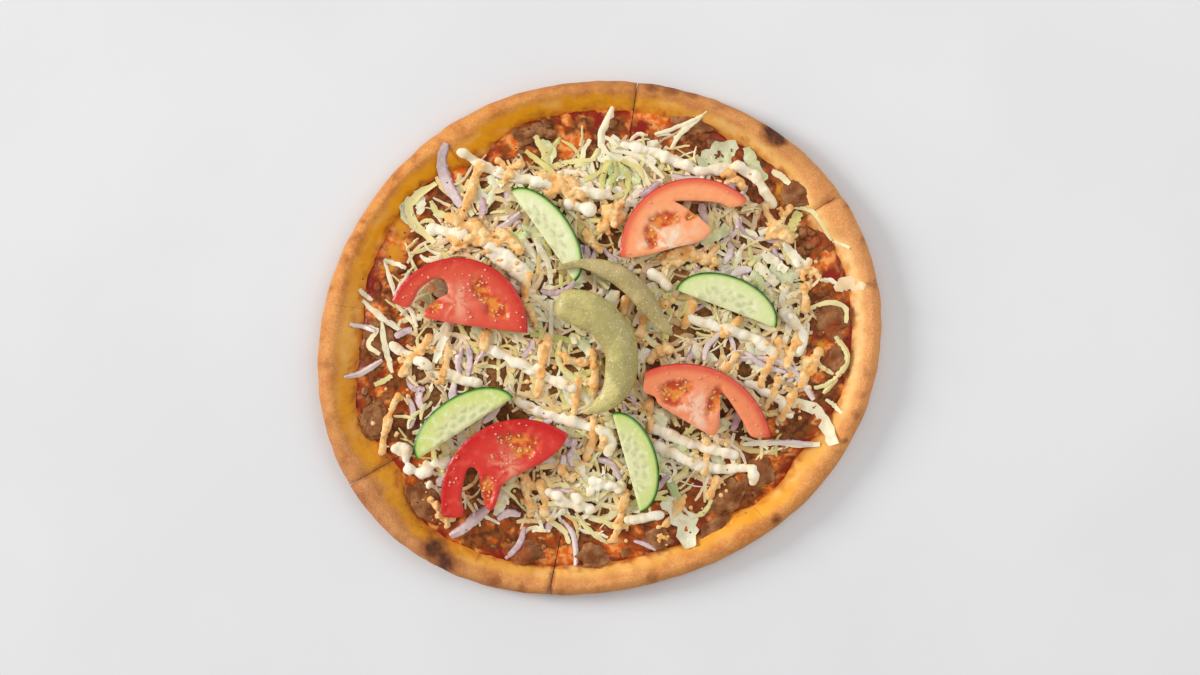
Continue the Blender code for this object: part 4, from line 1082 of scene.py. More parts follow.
@lru_cache(maxsize=None)
def core_section(angle):
    """The heap's bed: the solid's dome, lower by the depth of the shreds on it, and lumpy."""
    reach = heap_reach(angle) - 3
    bottom = BASE_THICKNESS + GAP + SAUCE_THICKNESS - 0.5

    def ring(share):
        x, y = place_at(angle, share * reach)
        dome = HEAP_EDGE_HEIGHT + (HEAP_HEIGHT - HEAP_EDGE_HEIGHT) * (1 - share ** 2.4) - CORE_DROP
        rough = 1.0 * lumps(x, y, 9, 3) + 0.7 * lumps(x, y, 3.5, 6)
        return (share * reach, bottom + max(0.6, dome + rough))

    return [(reach - 1, bottom), (reach, bottom + 0.4)] + [ring(1 - 0.02 * step) for step in range(1, 50)]


def add_core(look):
    return finish_piece("salad_bed", shaped_disc(core_section, CORE_STEPS), look, ["salad"])


class Relief:
    """Heights over the pizza on an even grid, in millimetres, which each laid thing raises."""

    CELL = 0.6
    HALF = 162.0

    def __init__(self, ground):
        count = int(2 * self.HALF / self.CELL)
        coarse = np.arange(0, count, 2)
        self.z = np.zeros((count, count))
        for row in coarse:
            y = row * self.CELL - self.HALF
            line = [ground(column * self.CELL - self.HALF, y) for column in coarse]
            self.z[row:row + 2] = np.repeat(line, 2)
        self.top = np.full((count, count), OPEN)

    def cells(self, x, y):
        last = self.z.shape[0] - 1
        across = np.clip(((np.asarray(x) + self.HALF) / self.CELL).astype(int), 0, last)
        along = np.clip(((np.asarray(y) + self.HALF) / self.CELL).astype(int), 0, last)
        return along, across

    def read(self, x, y):
        return self.z[self.cells(x, y)]

    def limit(self, x, y):
        """How high a thing may lie: OPEN where no slice or pepper covers the place."""
        return self.top[self.cells(x, y)]

    def is_open(self, x, y):
        return self.limit(x, y) == OPEN

    def raise_to(self, x, y, z):
        np.maximum.at(self.z, self.cells(x, y), z)


def soften(values, times=1):
    for _ in range(times):
        padded = np.concatenate([values[:1], values, values[-1:]])
        values = 0.25 * padded[:-2] + 0.5 * padded[1:-1] + 0.25 * padded[2:]
    return values


class Strips:
    """Gathers flat strips of leaf, each a closed band, into one mesh."""

    def __init__(self):
        self.corners, self.faces, self.paint, self.flat = [], [], [], []
        self.count = 0

    def add(self, middle, side, up, halves, thick, cup, colour, columns, taper):
        """One strip along middle (n, 3). halves are its left and right half widths, cup lifts its edges."""
        count = len(middle)
        slim = np.sin(np.linspace(0.16, math.pi - 0.16, count)) ** taper
        tops = np.linspace(-1, 1, columns)
        shares = np.concatenate([tops, tops[-2:0:-1]])
        sign = np.concatenate([-np.ones(columns), np.ones(columns - 2)])
        corners = []
        for share, half_side in zip(shares, sign):
            reach = share * np.where(share < 0, halves[0], halves[1]) * slim
            swell = 0.5 * thick * half_side * math.sqrt(max(0, 1 - share * share))
            fold = cup * halves[0] * (share * share - 0.35)
            spot = middle + side * reach[:, None]
            if columns > 3:
                rumple = np.array([noise.noise(Vector(p) / 3.5) for p in spot.tolist()])
                fold = fold + 0.3 * halves[0] * rumple
            corners.append(spot + up * (swell + fold)[:, None])
        ring = len(shares)
        self.corners.append(np.stack(corners, axis=1).reshape(-1, 3))
        first = self.count + ring * np.arange(count - 1)[:, None]
        for corner in range(ring):
            following = (corner + 1) % ring
            self.faces += np.hstack([first + corner, first + following, first + ring + following,
                                     first + ring + corner]).tolist()
        last = self.count + ring * (count - 1)
        self.faces += [list(range(self.count + ring - 1, self.count - 1, -1)), list(range(last, last + ring))]
        across = np.tile((shares + 1) / 2, count)
        along = np.repeat(np.linspace(0, 1, count), ring)
        self.paint.append(np.column_stack([np.full(ring * count, colour[0]), np.full(ring * count, colour[1]),
                                           across, along]))
        self.flat.append(np.column_stack([across * 3, along * count * 0.6]))
        self.count += ring * count

    def mesh(self, name):
        mesh = bpy.data.meshes.new(name)
        mesh.from_pydata(np.concatenate(self.corners).tolist(), [], self.faces)
        paint(mesh, "shred", np.concatenate(self.paint).T)
        layer = mesh.uv_layers.new(name="along")
        order = np.concatenate([np.array(face) for face in self.faces])
        layer.data.foreach_set("uv", np.concatenate(self.flat)[order].astype(np.float32).ravel())
        return mesh


def lay_strip(relief, strips, route, half, thick, colour, draw, lift=1.2, roll=0.35, columns=3, ragged=0.25):
    """Drape one strip over what lies below it, and raise the relief by it."""
    count = len(route)
    spread = np.linspace(-1, 1, count)
    ahead = np.gradient(route, axis=0)
    ahead /= np.maximum(np.hypot(*ahead.T), 1e-6)[:, None]
    side = np.column_stack([-ahead[:, 1], ahead[:, 0]])
    halves = [np.array([half * (1 + ragged * draw.uniform(-1, 1)) for _ in range(count)]) for _ in range(2)]
    reads = [relief.read(*(route + side * half * share).T) for share in (-0.7, 0, 0.7)]
    below = 0.6 * np.maximum.reduce(reads) + 0.4 * (reads[0] + reads[1] + reads[2]) / 3
    height = np.maximum(soften(below, 2), below - 0.35) + thick * 0.3
    height += np.abs(spread) ** 2.5 * np.where(spread < 0, draw.uniform(-0.2, lift), draw.uniform(-0.2, lift))
    room = np.minimum.reduce([relief.limit(*(route + side * half * share).T) for share in (-1, 0, 1)])
    height = np.minimum(height, room - thick * 0.6)
    tilt = soften(np.clip((reads[2] - reads[0]) / (1.4 * half), -0.5, 0.5) * 0.6, 2)
    tilt = tilt + np.linspace(draw.uniform(-roll, roll), draw.uniform(-roll, roll), count)
    tilt = np.where(room < OPEN, tilt * 0.2, tilt)
    rising = np.gradient(height) / np.maximum(np.hypot(*np.gradient(route, axis=0).T), 1e-6)
    sideways = np.column_stack([side * np.cos(tilt)[:, None], np.sin(tilt)])
    upward = np.column_stack([-ahead * (rising / np.hypot(1, rising))[:, None] - side * np.sin(tilt)[:, None],
                              np.cos(tilt)])
    cup = draw.uniform(-0.3, 0.35) if room.min() == OPEN else 0
    strips.add(np.column_stack([route, height]), sideways, upward, halves, thick, cup, colour, columns,
               draw.uniform(0.12, 0.45))
    fine = np.linspace(0, count - 1, count * 4)
    x, y, z, lean = (np.interp(fine, np.arange(count), values) for values in (route[:, 0], route[:, 1], height, tilt))
    sx, sy = (np.interp(fine, np.arange(count), side[:, axis]) for axis in (0, 1))
    for share in (-0.8, -0.4, 0, 0.4, 0.8):
        relief.raise_to(x + sx * half * share, y + sy * half * share, z + np.sin(lean) * half * share + thick * 0.3)


def bent_route(x, y, heading, length, bend, count, wander, draw):
    """A curved route round a middle, turning by bend over its length, as stations (count, 2)."""
    turns = heading + bend * np.linspace(-0.5, 0.5, count)
    turns = turns + wander * np.sin(np.linspace(0, math.tau * draw.uniform(0.5, 1.1), count) + draw.uniform(0, 6))
    step = length / (count - 1)
    moves = step * np.column_stack([np.cos(turns), np.sin(turns)])
    route = np.cumsum(moves, axis=0)
    return route - route.mean(axis=0) + (x, y)


def slab_plane(node, outline):
    """The underside of a leaning slice, from its solid: a function of the place."""
    middle = np.mean(outline, axis=0)
    outward = middle / np.hypot(*middle)
    fall = math.tan(math.radians(SLICE_LEAN))

    def drop(x, y):
        return -fall * ((x - middle[0]) * outward[0] + (y - middle[1]) * outward[1])

    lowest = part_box(node)[0].z / METRES - min(drop(x, y) for x, y in outline)
    return lambda x, y: lowest + drop(x, y)


def inside(x, y, outline):
    """Which of many places lie inside a closed outline."""
    found = np.zeros(np.shape(x), bool)
    for (ax, ay), (bx, by) in zip(outline, np.roll(outline, -1, axis=0)):
        if ay != by:
            crosses = ((ay > y) != (by > y)) & (x < (bx - ax) * (y - ay) / (by - ay) + ax)
            found ^= crosses
    return found


def distance_to(x, y, line):
    """How far each place lies from an open line of points."""
    best = np.full(np.shape(x), 1e9)
    for (ax, ay), (bx, by) in zip(line[:-1], line[1:]):
        dx, dy = bx - ax, by - ay
        share = np.clip(((x - ax) * dx + (y - ay) * dy) / max(dx * dx + dy * dy, 1e-9), 0, 1)
        best = np.minimum(best, np.hypot(x - ax - share * dx, y - ay - share * dy))
    return best


def arc_through(first, middle, last, steps):
    """Points on the circle through three places, from the first to the last, anticlockwise."""
    (ax, ay), (bx, by), (cx, cy) = first, middle, last
    twice = 2 * (ax * (by - cy) + bx * (cy - ay) + cx * (ay - by))
    squares = [x * x + y * y for x, y in (first, middle, last)]
    x = (squares[0] * (by - cy) + squares[1] * (cy - ay) + squares[2] * (ay - by)) / twice
    y = (squares[0] * (cx - bx) + squares[1] * (ax - cx) + squares[2] * (bx - ax)) / twice
    radius = math.hypot(ax - x, ay - y)
    start = math.atan2(ay - y, ax - x)
    sweep = (math.atan2(cy - y, cx - x) - start) % (2 * math.pi)
    turns = [start + sweep * step / steps for step in range(steps + 1)]
    return [(x + radius * math.cos(turn), y + radius * math.sin(turn)) for turn in turns]


def tomato_lines(shape):
    """The skin's arc and the inner edge of a tomato slice, both smooth."""
    skin = np.array(arc_through(*(on_pizza(p) for p in shape["arc"]), 70))
    corners = [skin[-1], *(on_pizza(p) for p in shape["inner"]), skin[0]]
    return skin, flat_route(smooth_route([Vector((*place, 0)) for place in corners], 5))[1:-1]


def cucumber_lines(shape):
    """The skin's half ellipse and the flat side of a cucumber slice."""
    start, end = np.array(on_pizza(shape[0])), np.array(on_pizza(shape[1]))
    half = (end - start) / 2
    out = np.array([-half[1], half[0]]) / np.hypot(*half) * shape[2]
    turns = np.linspace(0, math.pi, 90)[:, None]
    skin = (start + end) / 2 + half * np.cos(turns) + out * np.sin(turns)
    flat = np.linspace(start, end, 50)[1:-1]
    return skin, flat


def cut_slice(outline, spacing, thickness, underside, relief_at):
    """A slice with this outline: a finely divided top with relief, straight sides and a flat underside."""
    low, high = outline.min(axis=0), outline.max(axis=0)
    xs, ys = np.meshgrid(np.arange(low[0], high[0], spacing), np.arange(low[1], high[1], spacing * 0.87))
    xs = xs + (np.arange(len(ys)) % 2)[:, None] * spacing / 2
    x, y = xs.ravel(), ys.ravel()
    keep = inside(x, y, outline) & (distance_to(x, y, closed(outline)) > spacing * 0.45)
    points = [Vector(p) for p in outline] + [Vector(p) for p in zip(x[keep], y[keep])]
    count = len(outline)
    edges = [(i, (i + 1) % count) for i in range(count)]
    spots, _, faces, *_ = delaunay_2d_cdt(points, edges, [], 1, 1e-4)
    body = bmesh.new()
    verts = [body.verts.new((p.x, p.y, 0)) for p in spots]
    for face in faces:
        body.faces.new([verts[i] for i in face])
    base = body.faces[:]
    raised = bmesh.ops.extrude_face_region(body, geom=base)["geom"]
    tops = [g for g in raised if isinstance(g, bmesh.types.BMVert)]
    where = np.array([v.co[:2] for v in tops]).T
    shape = relief_at(*where) - 0.7 * (1 - rise(distance_to(*where, closed(outline)), 0.0, 1.3))
    for vert, lift in zip(tops, shape):
        vert.co.z = thickness + lift
    for vert in body.verts:
        vert.co.z += underside(vert.co.x, vert.co.y)
    return body


def in_pocket(x, y, pocket):
    """How far into a seed pocket each place is: above 1 is outside it."""
    place, length, width, turn = pocket
    middle_x, middle_y = on_pizza(place)
    along, across = turned(x - middle_x, y - middle_y, -turn)
    return np.hypot(along / (length * POINT_SIZE), across / (width * POINT_SIZE))


def pocket_mask(x, y, shape):
    wobble = 0.22 * cloud(x, y, 3.0, 5.0)
    best = np.minimum.reduce([in_pocket(x, y, pocket) for pocket in shape["pockets"]])
    return 1 - rise(best + wobble, 0.62, 1.12)


def add_tomato(number, shape, looks):
    """A tomato slice with its seeds and salt; gives its outline and its underside."""
    skin, inner = tomato_lines(shape)
    outline = np.vstack([even_line(skin, 1.0), even_line(inner, 1.0)])
    under = slab_plane(f"tomato_{number}", np.vstack([skin, inner]))

    def relief_at(x, y):
        return 0.18 * cloud(x, y, 4.0, number * 5.0) - POCKET_DEPTH * pocket_mask(x, y, shape)

    mesh = mesh_of(cut_slice(outline, TOMATO_GRID, TOMATO_THICKNESS, under, relief_at))
    x, y, _ = places_of(mesh).T
    depth = distance_to(x, y, skin)
    place, size, strength = shape["heart"]
    heart_x, heart_y = on_pizza(place)
    away = np.hypot(x - heart_x, y - heart_y)
    way = np.arctan2(y - heart_y, x - heart_x) + 0.35 * cloud(x, y, 6.0, 40.0 + number)
    rays = np.array([noise.noise(Vector((3.0 * math.cos(a), 3.0 * math.sin(a), d / 18))) for a, d in zip(way, away)])
    heart = strength * np.exp(-(away / (size * POINT_SIZE)) ** 2) * (0.55 + 1.3 * rays) * rise(depth, 5, 9)
    paint(mesh, "cut", (depth / 14, pocket_mask(x, y, shape), heart, np.full(len(depth), shape["pale"])))
    finish_piece(f"tomato_slice_{number}", mesh, looks["tomato"], [f"tomato_{number}"], SHARP_SLICE)

    draw = random.Random(50 + number)
    seeds, salt = bmesh.new(), bmesh.new()
    for place, length, width, turn in shape["pockets"]:
        middle_x, middle_y = on_pizza(place)
        for _ in range(max(3, round(length * width / 22))):
            ring, way = 0.8 * math.sqrt(draw.random()), draw.uniform(0, math.tau)
            off_x, off_y = turned(ring * length * math.cos(way), ring * width * math.sin(way), turn)
            x, y = middle_x + off_x * POINT_SIZE, middle_y + off_y * POINT_SIZE
            if inside(np.array([x]), np.array([y]), outline)[0]:
                add_crumb(seeds, (x, y, under(x, y) + TOMATO_THICKNESS - 1.2), SEED_HALVES, draw, 2, 0.1)
    placed = 0
    low, high = outline.min(axis=0), outline.max(axis=0)
    while placed < shape["salt"]:
        x, y = draw.uniform(low[0], high[0]), draw.uniform(low[1], high[1])
        spot = np.array([x]), np.array([y])
        if inside(*spot, outline)[0] and distance_to(*spot, closed(outline))[0] > 1.2:
            size = draw.uniform(0.28, 0.7)
            top = under(x, y) + TOMATO_THICKNESS - POCKET_DEPTH * pocket_mask(*spot, shape)[0]
            add_crumb(salt, (x, y, top + size * 0.5), (size * 1.1, size, size * 0.8), draw, 1)
            placed += 1
    finish_piece(f"tomato_seeds_{number}", seeds, looks["seed"])
    finish_piece(f"salt_grains_{number}", salt, looks["salt"])
    return outline, under


def add_cucumber(number, shape, look):
    """A cucumber slice; gives its outline and its underside."""
    skin, flat = cucumber_lines(shape)
    outline = np.vstack([even_line(skin, 0.9), even_line(flat, 0.9)])
    under = slab_plane(f"cucumber_{number}", np.vstack([skin, flat]))
    start, end = np.array(on_pizza(shape[0])), np.array(on_pizza(shape[1]))
    middle, half = (start + end) / 2, np.hypot(*(end - start)) / 2
    along = (end - start) / (2 * half)

    def ellipse(x, y):
        """How far out each place lies, 1 at the skin, and its angle from the flat side."""
        x, y = x - middle[0], y - middle[1]
        flat_share = (x * along[0] + y * along[1]) / half
        bow_share = (y * along[0] - x * along[1]) / shape[2]
        return np.hypot(flat_share, bow_share), np.degrees(np.arctan2(bow_share, flat_share))

    def seed_mask(x, y):
        """Pointed seeds set round the middle in two rings."""
        share, turn = ellipse(x, y)
        share, turn = share + 0.07 * cloud(x, y, 6.0, 61.0), turn + 9 * cloud(x, y, 7.0, 63.0)
        best = np.zeros(np.shape(x))
        for ring, step, shift in SEED_RINGS:
            for centre in range(shift, 180, step):
                away = np.hypot((share - ring) / 0.105, (turn - centre) / (11 * 0.42 / ring))
                best = np.maximum(best, 1 - rise(away, 0.7, 1.05))
        return best

    def relief_at(x, y):
        share, _ = ellipse(x, y)
        return 0.25 * seed_mask(x, y) - 0.35 * rise(share, 0.66, 0.4) + 0.12 * cloud(x, y, 3.0, number * 3.0)

    mesh = mesh_of(cut_slice(outline, CUCUMBER_GRID, CUCUMBER_THICKNESS, under, relief_at))
    x, y, _ = places_of(mesh).T
    share, _ = ellipse(x, y)
    nearness = 1 - distance_to(x, y, skin) / 30
    paint(mesh, "cut", (share, seed_mask(x, y), nearness, np.full(len(share), shape[3])))
    finish_piece(f"cucumber_slice_{number}", mesh, look, [f"cucumber_{number}"], SHARP_SLICE)
    return outline, under


def solid_span(node):
    """Give a function that finds the lowest and highest point of a solid over a place."""
    tree = ray_tree([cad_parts[node]])

    def span(x, y):
        upper, lower = (tree.ray_cast(Vector((x, y, side * FAR)), Vector((0, 0, -side)))[0] for side in (1, -1))
        return None if upper is None or lower is None else (lower.z, upper.z)
    return span


def add_pepper(number, shape, look):
    """A curved pepper round the solid's own middle line; gives that line, its half widths and heights."""
    line = route_through([place for place, _ in shape], 9)
    halves = [w.x for w in smooth_route([Vector((width, 0, 0)) for _, width in shape], 9)]
    span = solid_span(f"pepper_{number}")
    heights = []
    for place in line:
        found = span(place.x, place.y)
        heights.append(sum(found) / 2 if found else (heights[-1] if heights else None))
    known = next(h for h in heights if h is not None)
    heights = soften(np.array([known if h is None else h for h in heights]), 2)
    count, sides = len(line), 30
    body = bmesh.new()
    bmesh.ops.create_circle(body, cap_ends=True, segments=sides, radius=1)
    face = body.faces[:][0]
    for step, place in enumerate(line):
        ahead = line[min(step + 1, count - 1)] - line[max(step - 1, 0)]
        across = Vector((-ahead.y, ahead.x, 0)).normalized()
        from_end = min(step, count - 1 - step) / 4
        round_off = math.sqrt(1 - (1 - min(1, from_end)) ** 2) * 0.92 + 0.08 if from_end < 1 else 1
        if step:
            grown = bmesh.ops.extrude_face_region(body, geom=[face])["geom"]
            if step > 1:
                bmesh.ops.delete(body, geom=[face], context="FACES_ONLY")
            face = next(g for g in grown if isinstance(g, bmesh.types.BMFace))
        for side, vert in enumerate(face.verts):
            turn = math.tau * side / sides
            reach = halves[step] * round_off * (1 + 0.05 * math.sin(3 * turn + step * 0.08))
            vert.co = Vector((place.x, place.y, heights[step])) + across * reach * math.cos(turn)
            vert.co.z += PEPPER_FLATNESS * reach * math.sin(turn)
    roughen(body, ((9.0, 0.5), (3.0, 0.22)), -1)
    finish_piece(f"pickled_pepper_{number}", body, look, [f"pepper_{number}"])
    return flat_route(line), halves, heights


def keep_room(relief, slabs, peppers):
    """Mark how high shreds may come under each slice and pepper."""
    count = relief.z.shape[0]
    axis = np.arange(count) * relief.CELL - relief.HALF
    x, y = np.meshgrid(axis, axis)
    for outline, under in slabs:
        near = np.maximum(np.abs(x - outline[:, 0].mean()), np.abs(y - outline[:, 1].mean())) < SLICE_REACH
        found = inside(x[near], y[near], outline)
        found |= distance_to(x[near], y[near], closed(outline)) < 0.7
        limit = np.where(found, under(x[near], y[near]) - 0.15, OPEN)
        relief.top[near] = np.minimum(relief.top[near], limit)
    for line, halves, heights in peppers:
        for place, half, height in zip(line, halves, heights):
            away = np.hypot(x - place[0], y - place[1])
            near = away < half + 0.4
            under = height - PEPPER_FLATNESS * half * np.sqrt(np.clip(1 - (away[near] / half) ** 2, 0, 1))
            relief.top[near] = np.minimum(relief.top[near], under - 0.1)


def in_heap(draw, beyond=0.0):
    """A random place in the heap."""
    angle = draw.uniform(0, 360)
    return place_at(angle, math.sqrt(draw.random()) * (heap_reach(angle) + beyond))


def add_shreds(looks, relief):
    """Cabbage from the bed up: many loose shreds, strays past the edge, then those that stand out."""
    draw = random.Random(7)
    low, high, onion, leaf = Strips(), Strips(), Strips(), Strips()
    dyed = np.vstack([even_route(points, 8) for points in PEACH_LINES])

    def tone(x, y):
        """How green and how stained a shred is, in drifts over the heap; peach sauce dyes what is near, and the
        highest stain values are painted shade.
        """
        drift = lumps(x, y, 38, 2)
        stain = 0.3 * draw.random() if draw.random() < 0.7 else draw.random()
        if np.hypot(dyed[:, 0] - x, dyed[:, 1] - y).min() < 6 and draw.random() < 0.6:
            stain = 0.52
        return min(1, max(0, draw.gauss(0.3 + 0.3 * drift, 0.22))), stain

    def lay_shred(strips, x, y, heading, length, half, bend, wander=0.12):
        route = bent_route(x, y, heading, length, bend, 11, wander, draw)
        angle, radius = polar(*route.T)
        if (radius > EDGE_AT(angle) - 0.8 * RIM_AT(angle)).any():
            return
        colour = tone(x, y)
        # Most lower shreds get the highest stain values: painted shade, as if deep in the heap.
        if strips is low and draw.random() < 0.6:
            colour = colour[0], draw.uniform(0.85, 1.0)
        lay_strip(relief, strips, route, half, draw.uniform(0.4, 0.7), colour, draw)
        if draw.random() < 0.3 and length > 16:
            start = route[draw.randint(2, 5)]
            away = heading + draw.choice((-1, 1)) * draw.uniform(0.35, 0.8)
            reach = length * draw.uniform(0.25, 0.4)
            centre = start + np.array([math.cos(away), math.sin(away)]) * reach / 2
            branch = bent_route(*centre, away, reach, draw.gauss(0, 0.5), 7, 0.1, draw)
            lay_strip(relief, strips, branch, half * 0.8, 0.5, colour, draw)

    placed = 0
    while placed < SHRED_COUNT:
        x, y = in_heap(draw, 1)
        if lumps(x, y, 9, 8) < -0.12 + draw.uniform(-0.12, 0.1):
            continue
        placed += 1
        heading = math.tau * lumps(x, y, 45, 4) + draw.gauss(0, 0.9)
        half = min(2.5, max(0.55, draw.gauss(1.12, 0.42)))
        lay_shred(low if placed < SHRED_COUNT * 0.5 else high, x, y, heading, min(42, max(10, draw.gauss(24, 9))),
                  half, draw.gauss(0, 1.5), draw.uniform(0, 0.5))
        if placed % (SHRED_COUNT // WIDE_COUNT) == 0:
            x, y = in_heap(draw)
            route = bent_route(x, y, draw.uniform(0, math.tau), draw.uniform(9, 20), draw.gauss(0, 0.5), 9, 0.1, draw)
            lay_strip(relief, leaf, route, draw.uniform(2.0, 3.8), 0.6,
                      (max(0, draw.gauss(0.12, 0.25)), draw.random()), draw, columns=5, ragged=0.3, roll=0.2)
        if placed % (SHRED_COUNT // LOOSE_ONION_COUNT) == 0:
            x, y = in_heap(draw)
            route = bent_route(x, y, heading + 1, draw.uniform(10, 22), draw.uniform(0.6, 1.6), 9, 0.05, draw)
            lay_strip(relief, onion, route, draw.uniform(1.4, 2.6), 1.0, (draw.random(), 0), draw, ragged=0.12)
    for _ in range(SMALL_SHRED_COUNT):
        x, y = in_heap(draw)
        route = bent_route(x, y, draw.uniform(0, math.pi), draw.uniform(4, 11), draw.gauss(0, 0.7), 5, 0.1, draw)
        lay_strip(relief, high, route, draw.uniform(0.6, 1.7), 0.8, tone(x, y), draw, lift=0.6, ragged=0.35)
    for _ in range(STRAY_COUNT):
        angle = draw.uniform(0, 360)
        x, y = place_at(angle, heap_reach(angle) + draw.uniform(-4, 9))
        lay_shred(high, x, y, draw.uniform(0, math.pi), draw.uniform(8, 20), draw.uniform(0.5, 1.1),
                  draw.gauss(0, 1.2), 0.2)
    for points, half, green in LEAVES:
        lay_strip(relief, leaf, even_route(points, 13), half, 0.7, (green, draw.random()), draw, roll=0.25, columns=5,
                  ragged=0.3)
    for points, half, green in NAMED_SHREDS:
        lay_strip(relief, high, even_route(points, 13), half, 0.8, (green, 0.12), draw, lift=0.8, roll=0.2,
                  columns=3 if half < 2 else 5)
    for points, half in PEACH_FLAPS:
        lay_strip(relief, high, even_route(points, 13), half, 0.8, (0.1, 0.55), draw, roll=0.1, columns=5)
    for points, half in ONION_SLIVERS:
        lay_strip(relief, onion, even_route(points, 13), half, 1.2, (draw.random(), 0), draw, lift=0.6, roll=0.2,
                  ragged=0.1)
    for name, strips, look in (("lower_shreds", low, "cabbage"), ("upper_shreds", high, "cabbage"),
                               ("onion_slivers", onion, "onion"), ("salad_leaves", leaf, "leaf")):
        finish_piece(name, strips.mesh(name), looks[look], sharp=SHARP_SLICE)


def add_beads(body, places, radii, draw, flatness):
    """A run of flattened beads that a remesh melts into one line."""
    for (x, y, z), radius in zip(places, radii):
        made = bmesh.ops.create_icosphere(body, subdivisions=2, radius=radius)["verts"]
        squash = flatness * draw.uniform(0.9, 1.1)
        for vert in made:
            vert.co = Vector((x, y, z)) + Vector((vert.co.x, vert.co.y, vert.co.z * squash))


def melt(name, body, voxel, look, grain):
    """Melt beads into one skin, and give it a soft uneven surface."""
    rough = show(name + "_beads", mesh_of(body))
    remesh = rough.modifiers.new("Melt", "REMESH")
    remesh.mode = "VOXEL"
    remesh.voxel_size = voxel
    calm = rough.modifiers.new("Calm", "SMOOTH")
    calm.factor = 0.5
    calm.iterations = 3
    bpy.context.view_layer.update()
    mesh = bpy.data.meshes.new_from_object(rough.evaluated_get(bpy.context.evaluated_depsgraph_get()))
    bpy.data.objects.remove(rough, do_unlink=True)
    body = bmesh.new()
    body.from_mesh(mesh)
    roughen(body, grain, -1)
    bpy.data.meshes.remove(mesh)
    return finish_piece(name, body, look)


def add_sauce_lines(name, sauce, look, relief):
    """Piped lines of a sauce, with its blobs and loose drops."""
    radius, uneven, squash, seed = (sauce[key] for key in ("radius", "uneven", "squash", "seed"))
    draw = random.Random(seed)
    body = bmesh.new()
    stations = []

    def add_bead(x, y, size, lift):
        if relief.is_open(x, y) and math.hypot(x, y) < foot_beside(x, y) - size:
            add_beads(body, [(x, y, float(relief.read(x, y)) + size * lift)], [size], draw, squash)

    for points in sauce["lines"]:
        length = np.hypot(*np.diff(np.array([on_pizza(p) for p in points]), axis=0).T).sum()
        route = even_route(points, max(4, int(length / (radius * 0.5))))
        stations += route.tolist()
        swell, finer, sway = (np.array([lumps(x, y, size, seed + more) for x, y in route])
                              for size, more in ((6, 0), (2, 5), (4, 9)))
        route = route + (1.6 * uneven * radius * sway)[:, None] * np.array([0.7, 0.7])
        radii = radius * np.clip(1 + 1.3 * uneven * swell + 0.7 * uneven * finer, 0.45, 1.6)
        radii[[0, -1]] *= draw.uniform(0.8, 1.2)
        ground = relief.read(*route.T)
        height = np.maximum(soften(ground, 3), soften(ground, 1) - 0.5) + radii * 0.35
        keep = relief.is_open(*route.T)
        add_beads(body, np.column_stack([route, height])[keep], radii[keep], draw, squash)
        turns = np.linspace(0, math.tau, 9)
        for x, y, z, r in zip(*route[keep].T, height[keep], radii[keep]):
            for share in (0, 0.5, 0.8):
                relief.raise_to(x + r * share * np.cos(turns), y + r * share * np.sin(turns),
                                z + squash * r * math.sqrt(1 - share * share))
    for point, size in sauce["blobs"]:
        x, y = on_pizza(point)
        shrink = math.sqrt(sauce["lumps"])
        away = sauce["spread"] * size / shrink
        for _ in range(sauce["lumps"]):
            add_bead(x + draw.gauss(0, away), y + draw.gauss(0, away), size * draw.uniform(0.9, 1.6) / shrink, 0.25)
    for _ in range(sauce["drops"]):
        x, y = draw.choice(stations)
        add_bead(x + draw.gauss(0, 4.5), y + draw.gauss(0, 4.5), draw.uniform(0.6, 1.6), 0.15)
    melt(name, body, sauce["voxel"], look, sauce["grain"])


def add_flecks(look, relief):
    """Dried herb and pepper, strewn over everything."""
    draw = random.Random(17)
    body = bmesh.new()
    for _ in range(FLECK_COUNT):
        angle, share = draw.uniform(0, 360), math.sqrt(draw.random())
        x, y = place_at(angle, share * (edge_radius(angle) - 0.8 * rim_width(angle)))
        if relief.is_open(x, y) and in_slice(x, y, 0.6):
            size = draw.uniform(0.2, 0.5)
            add_crumb(body, (x, y, float(relief.read(x, y)) + 0.1), (size * 1.5, size * 0.8, size * 0.4), draw, 1)
    finish_piece("herb_flecks", body, look)


# Stage


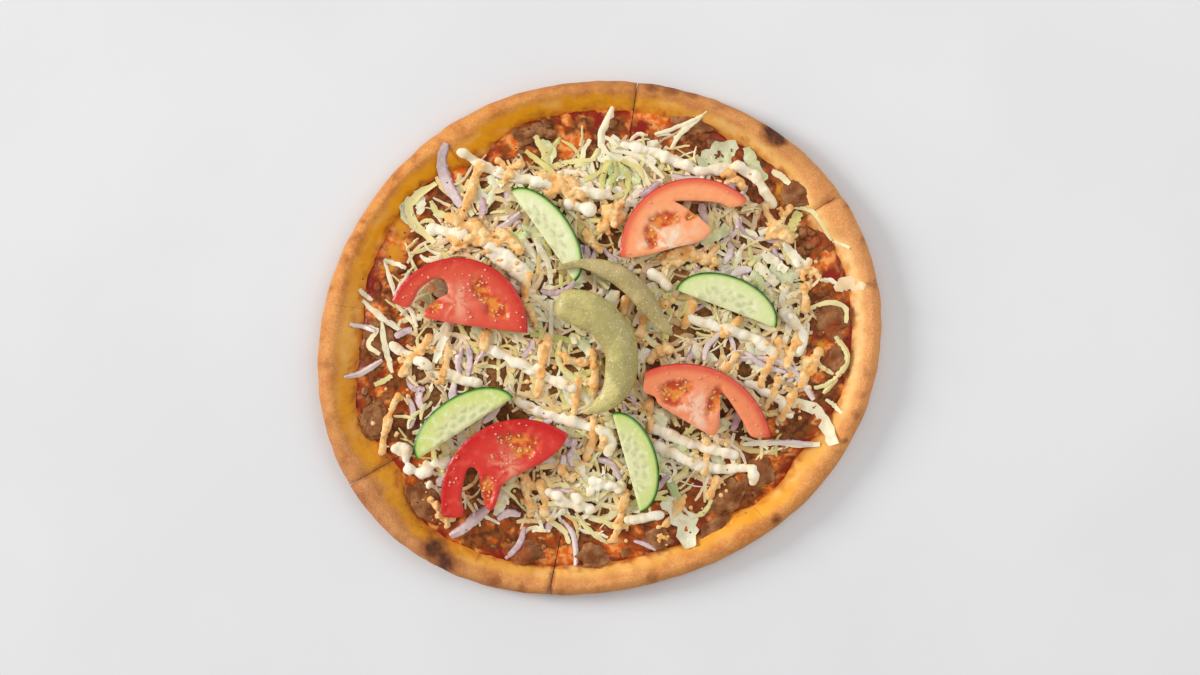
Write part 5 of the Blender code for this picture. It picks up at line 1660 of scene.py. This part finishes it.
def add_stage():
    """A pale floor, soft light from the upper left, and the camera straight above."""
    floor_body = bmesh.new()
    bmesh.ops.create_grid(floor_body, x_segments=2, y_segments=2, size=FLOOR_HALF)
    floor = show("floor", mesh_of(floor_body))
    floor.data.materials.append(finish("pale_floor", plain_look("e3e3e4", "e6e6e7", 6.0), Roughness=0.7))
    floor.location.z = -FLOOR_DROP

    for name, place, size, power in LIGHTS:
        lamp = bpy.data.lights.new(name, "AREA")
        lamp.shape = "DISK"
        lamp.size = size
        lamp.energy = power
        item = show(name, lamp)
        item.location = place
        item.rotation_euler = (-Vector(place)).to_track_quat("-Z", "Y").to_euler()

    world = bpy.data.worlds.new("studio")
    world.use_nodes = True
    sky = world.node_tree.nodes["Background"]
    sky.inputs[0].default_value = (1, 1, 1, 1)
    sky.inputs[1].default_value = SKY_STRENGTH
    bpy.context.scene.world = world

    lens = bpy.data.cameras.new("camera")
    lens.lens = FOCAL_LENGTH
    lens.sensor_width = SENSOR_WIDTH
    camera = show("camera", lens)
    x, y = on_pizza((IMAGE_SIZE[0] / 2, IMAGE_SIZE[1] / 2))
    high = IMAGE_SIZE[0] * POINT_SIZE * lens.lens / lens.sensor_width
    camera.location = ((x - MIDDLE.x) * METRES, (y - MIDDLE.y) * METRES, (high + RIM_HEIGHT) * METRES)
    bpy.context.scene.camera = camera
    bpy.context.scene.view_settings.view_transform = "Standard"


def dress():
    """Build the pizza from the crust up."""
    looks = make_finishes()
    add_stage()
    layers = add_crust(looks["crust"]) + add_sauce(looks["sauce"])
    meat = add_meat(looks["meat"], surface_of(layers))
    core = add_core(looks["core"])
    relief = Relief(surface_of(layers + meat + [core]))
    slabs = [add_tomato(number, shape, looks) for number, shape in enumerate(TOMATOES, 1)]
    slabs += [add_cucumber(number, shape, looks["cucumber"]) for number, shape in enumerate(CUCUMBERS, 1)]
    peppers = [add_pepper(number, shape, looks[f"pepper_{number}"]) for number, shape in enumerate(PEPPERS, 1)]
    keep_room(relief, slabs, peppers)
    add_shreds(looks, relief)
    add_sauce_lines("white_sauce", WHITE_SAUCE, looks["white"], relief)
    add_sauce_lines("peach_sauce", PEACH_SAUCE, looks["peach"], relief)
    add_flecks(looks["fleck"], relief)


dress()
